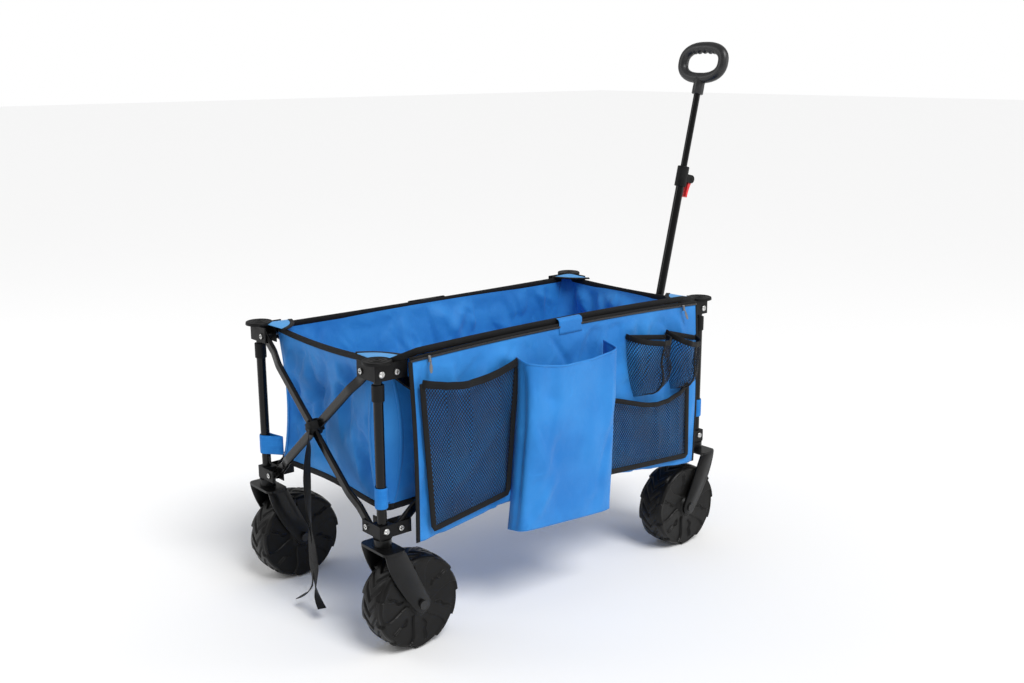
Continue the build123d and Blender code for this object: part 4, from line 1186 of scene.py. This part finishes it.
SHORT_TAIL = [(0.0030, 0.402, 0.2), (0.0010, 0.360, 0.9), (0.0060, 0.295, 1.2), (0.0076, 0.231, 0.9),
              (0.0048, 0.156, 0.2), (0.0030, 0.112, 0.1), (0.0024, 0.077, 0.5), (0.0130, 0.055, 1.0),
              (0.0345, 0.0362, 1.25), (0.0564, 0.0237, 1.35)]


def tail_path(knots, set_back):
    """Evenly spaced places along knots of (across, up, turn), rounded off by a short average."""
    knots = np.asarray(knots)
    run = np.concatenate([[0], np.cumsum(np.hypot(*np.diff(knots[:, :2], axis=0).T))])
    at = np.linspace(0, run[-1], 120)
    blur = np.hanning(13) / np.hanning(13).sum()
    y, z, turn = [np.convolve(np.pad(np.interp(at, run, knots[:, k]), 6, mode="reflect", reflect_type="odd"),
                              blur, mode="valid") for k in range(3)]
    x = STRAP_X - 0.002 - 0.006 * smooth(at, 0.0, 0.08) - set_back
    return stacked(x, y, z), turn


for name, knots, set_back in (("strap_tail_long", LONG_TAIL, 0.003), ("strap_tail_short", SHORT_TAIL, 0.0)):
    path, turn = tail_path(knots, set_back)
    ahead = np.gradient(path[:, 1:], axis=0)
    ahead = ahead / np.linalg.norm(ahead, axis=1, keepdims=True)
    facing = stacked(-np.cos(turn), -ahead[:, 1] * np.sin(turn), ahead[:, 0] * np.sin(turn))
    tail = ribbon(name, path, facing, STRAP_WIDTH, 0.0018, webbing)
    carry(tail, "strap_hub")

# ---- handle grip -------------------------------------------------------------------------------
# A closed rounded loop moulded over the handle's tube in dark semi-gloss plastic. Its section
# is nearly round, and the top bar has finger swells on its underside.
LEAN = math.radians(13.5)
UP = np.array([math.sin(LEAN), 0, math.cos(LEAN)])
AHEAD = np.array([math.cos(LEAN), 0, -math.sin(LEAN)])
SIDEWAYS = np.array([0.0, 1.0, 0.0])
LOOP_HALF_WIDTH = 0.0625
LOOP_HALF_HEIGHT = 0.0378
GRIP_HALF = 0.0128
LOOP_POWER = 2 / 2.45
SWELL_HEIGHT = 0.0036
SWELL_HALF = 0.0092
LOOP_CENTRE = 0.7335
pivot = np.array(box_middle("handle_pin")) * (1, 0, 1)
grip_plastic = clouded("grip_plastic", (0.009, 0.009, 0.0097, 1.0), (0.022, 0.022, 0.0235, 1.0), 55.0,
                       (0.35, 0.7), (0.30, 0.12), (1100.0, 2.0, 0.18, 0.0003, 0.05),
                       Specular_IOR_Level=0.5, Coat_Roughness=0.2)
ring = full_turn(200)[:, None]
cross = full_turn(36)[None, :]
mid_y = LOOP_HALF_WIDTH * signed_power(np.cos(ring), LOOP_POWER)
mid_up = LOOP_HALF_HEIGHT * signed_power(np.sin(ring), LOOP_POWER)
gap_y = np.roll(mid_y, -1, 0) - np.roll(mid_y, 1, 0)
gap_up = np.roll(mid_up, -1, 0) - np.roll(mid_up, 1, 0)
gap = np.hypot(gap_y, gap_up)
normal_y, normal_up = gap_up / gap, -gap_y / gap
on_top = smooth(mid_up, 0.026, 0.034) * smooth(0.038 - abs(mid_y), 0.0, 0.008)
swell = SWELL_HEIGHT * on_top * (0.5 + 0.5 * np.cos(mid_y / SWELL_HALF * math.pi))
inward = np.clip(-np.cos(cross), 0, 1)
reach = GRIP_HALF * np.cos(cross) - swell * inward
thick = GRIP_HALF * 0.98 * np.sin(cross)
centre_line = pivot + UP * LOOP_CENTRE
points = (centre_line + SIDEWAYS * (mid_y + normal_y * reach)[..., None]
          + UP * (mid_up + normal_up * reach)[..., None] + AHEAD * (thick + 0 * mid_y)[..., None])
closed = np.concatenate([points, points[:1]])
loop_piece = surface("loop", closed, grip_plastic, wrap=True)
NECK = [(0.656, 0.0128), (0.6575, 0.0140), (0.672, 0.0140), (0.680, 0.0136), (0.688, 0.0146), (0.698, 0.0120)]
neck_along, neck_radius = np.array(NECK).T[:, :, None]
angle = full_turn(40)[None, :]
neck = (pivot + UP * (neck_along + 0 * angle)[..., None] + SIDEWAYS * (neck_radius * np.sin(angle))[..., None]
        + AHEAD * (neck_radius * np.cos(angle))[..., None])
neck_piece = surface("neck", neck, grip_plastic, wrap=True, ends=True)
carry(join("loop_grip", [loop_piece, neck_piece]), "handle_upper", "handle_grip")

# ---- height clamp ------------------------------------------------------------------------------
# A nylon clamp on the lower tube's top, locked by a red cam lever that flips outwards.
paint("handle_clamp", nylon)
lever_red = clouded("lever_red", (0.62, 0.012, 0.016, 1.0), (0.78, 0.022, 0.026, 1.0), 90.0,
                    (0.35, 0.7), (0.30, 0.14), (1200.0, 4.0, 0.15, 0.0003, 0.0), Specular_IOR_Level=0.5)
paint("clamp_lever", lever_red)
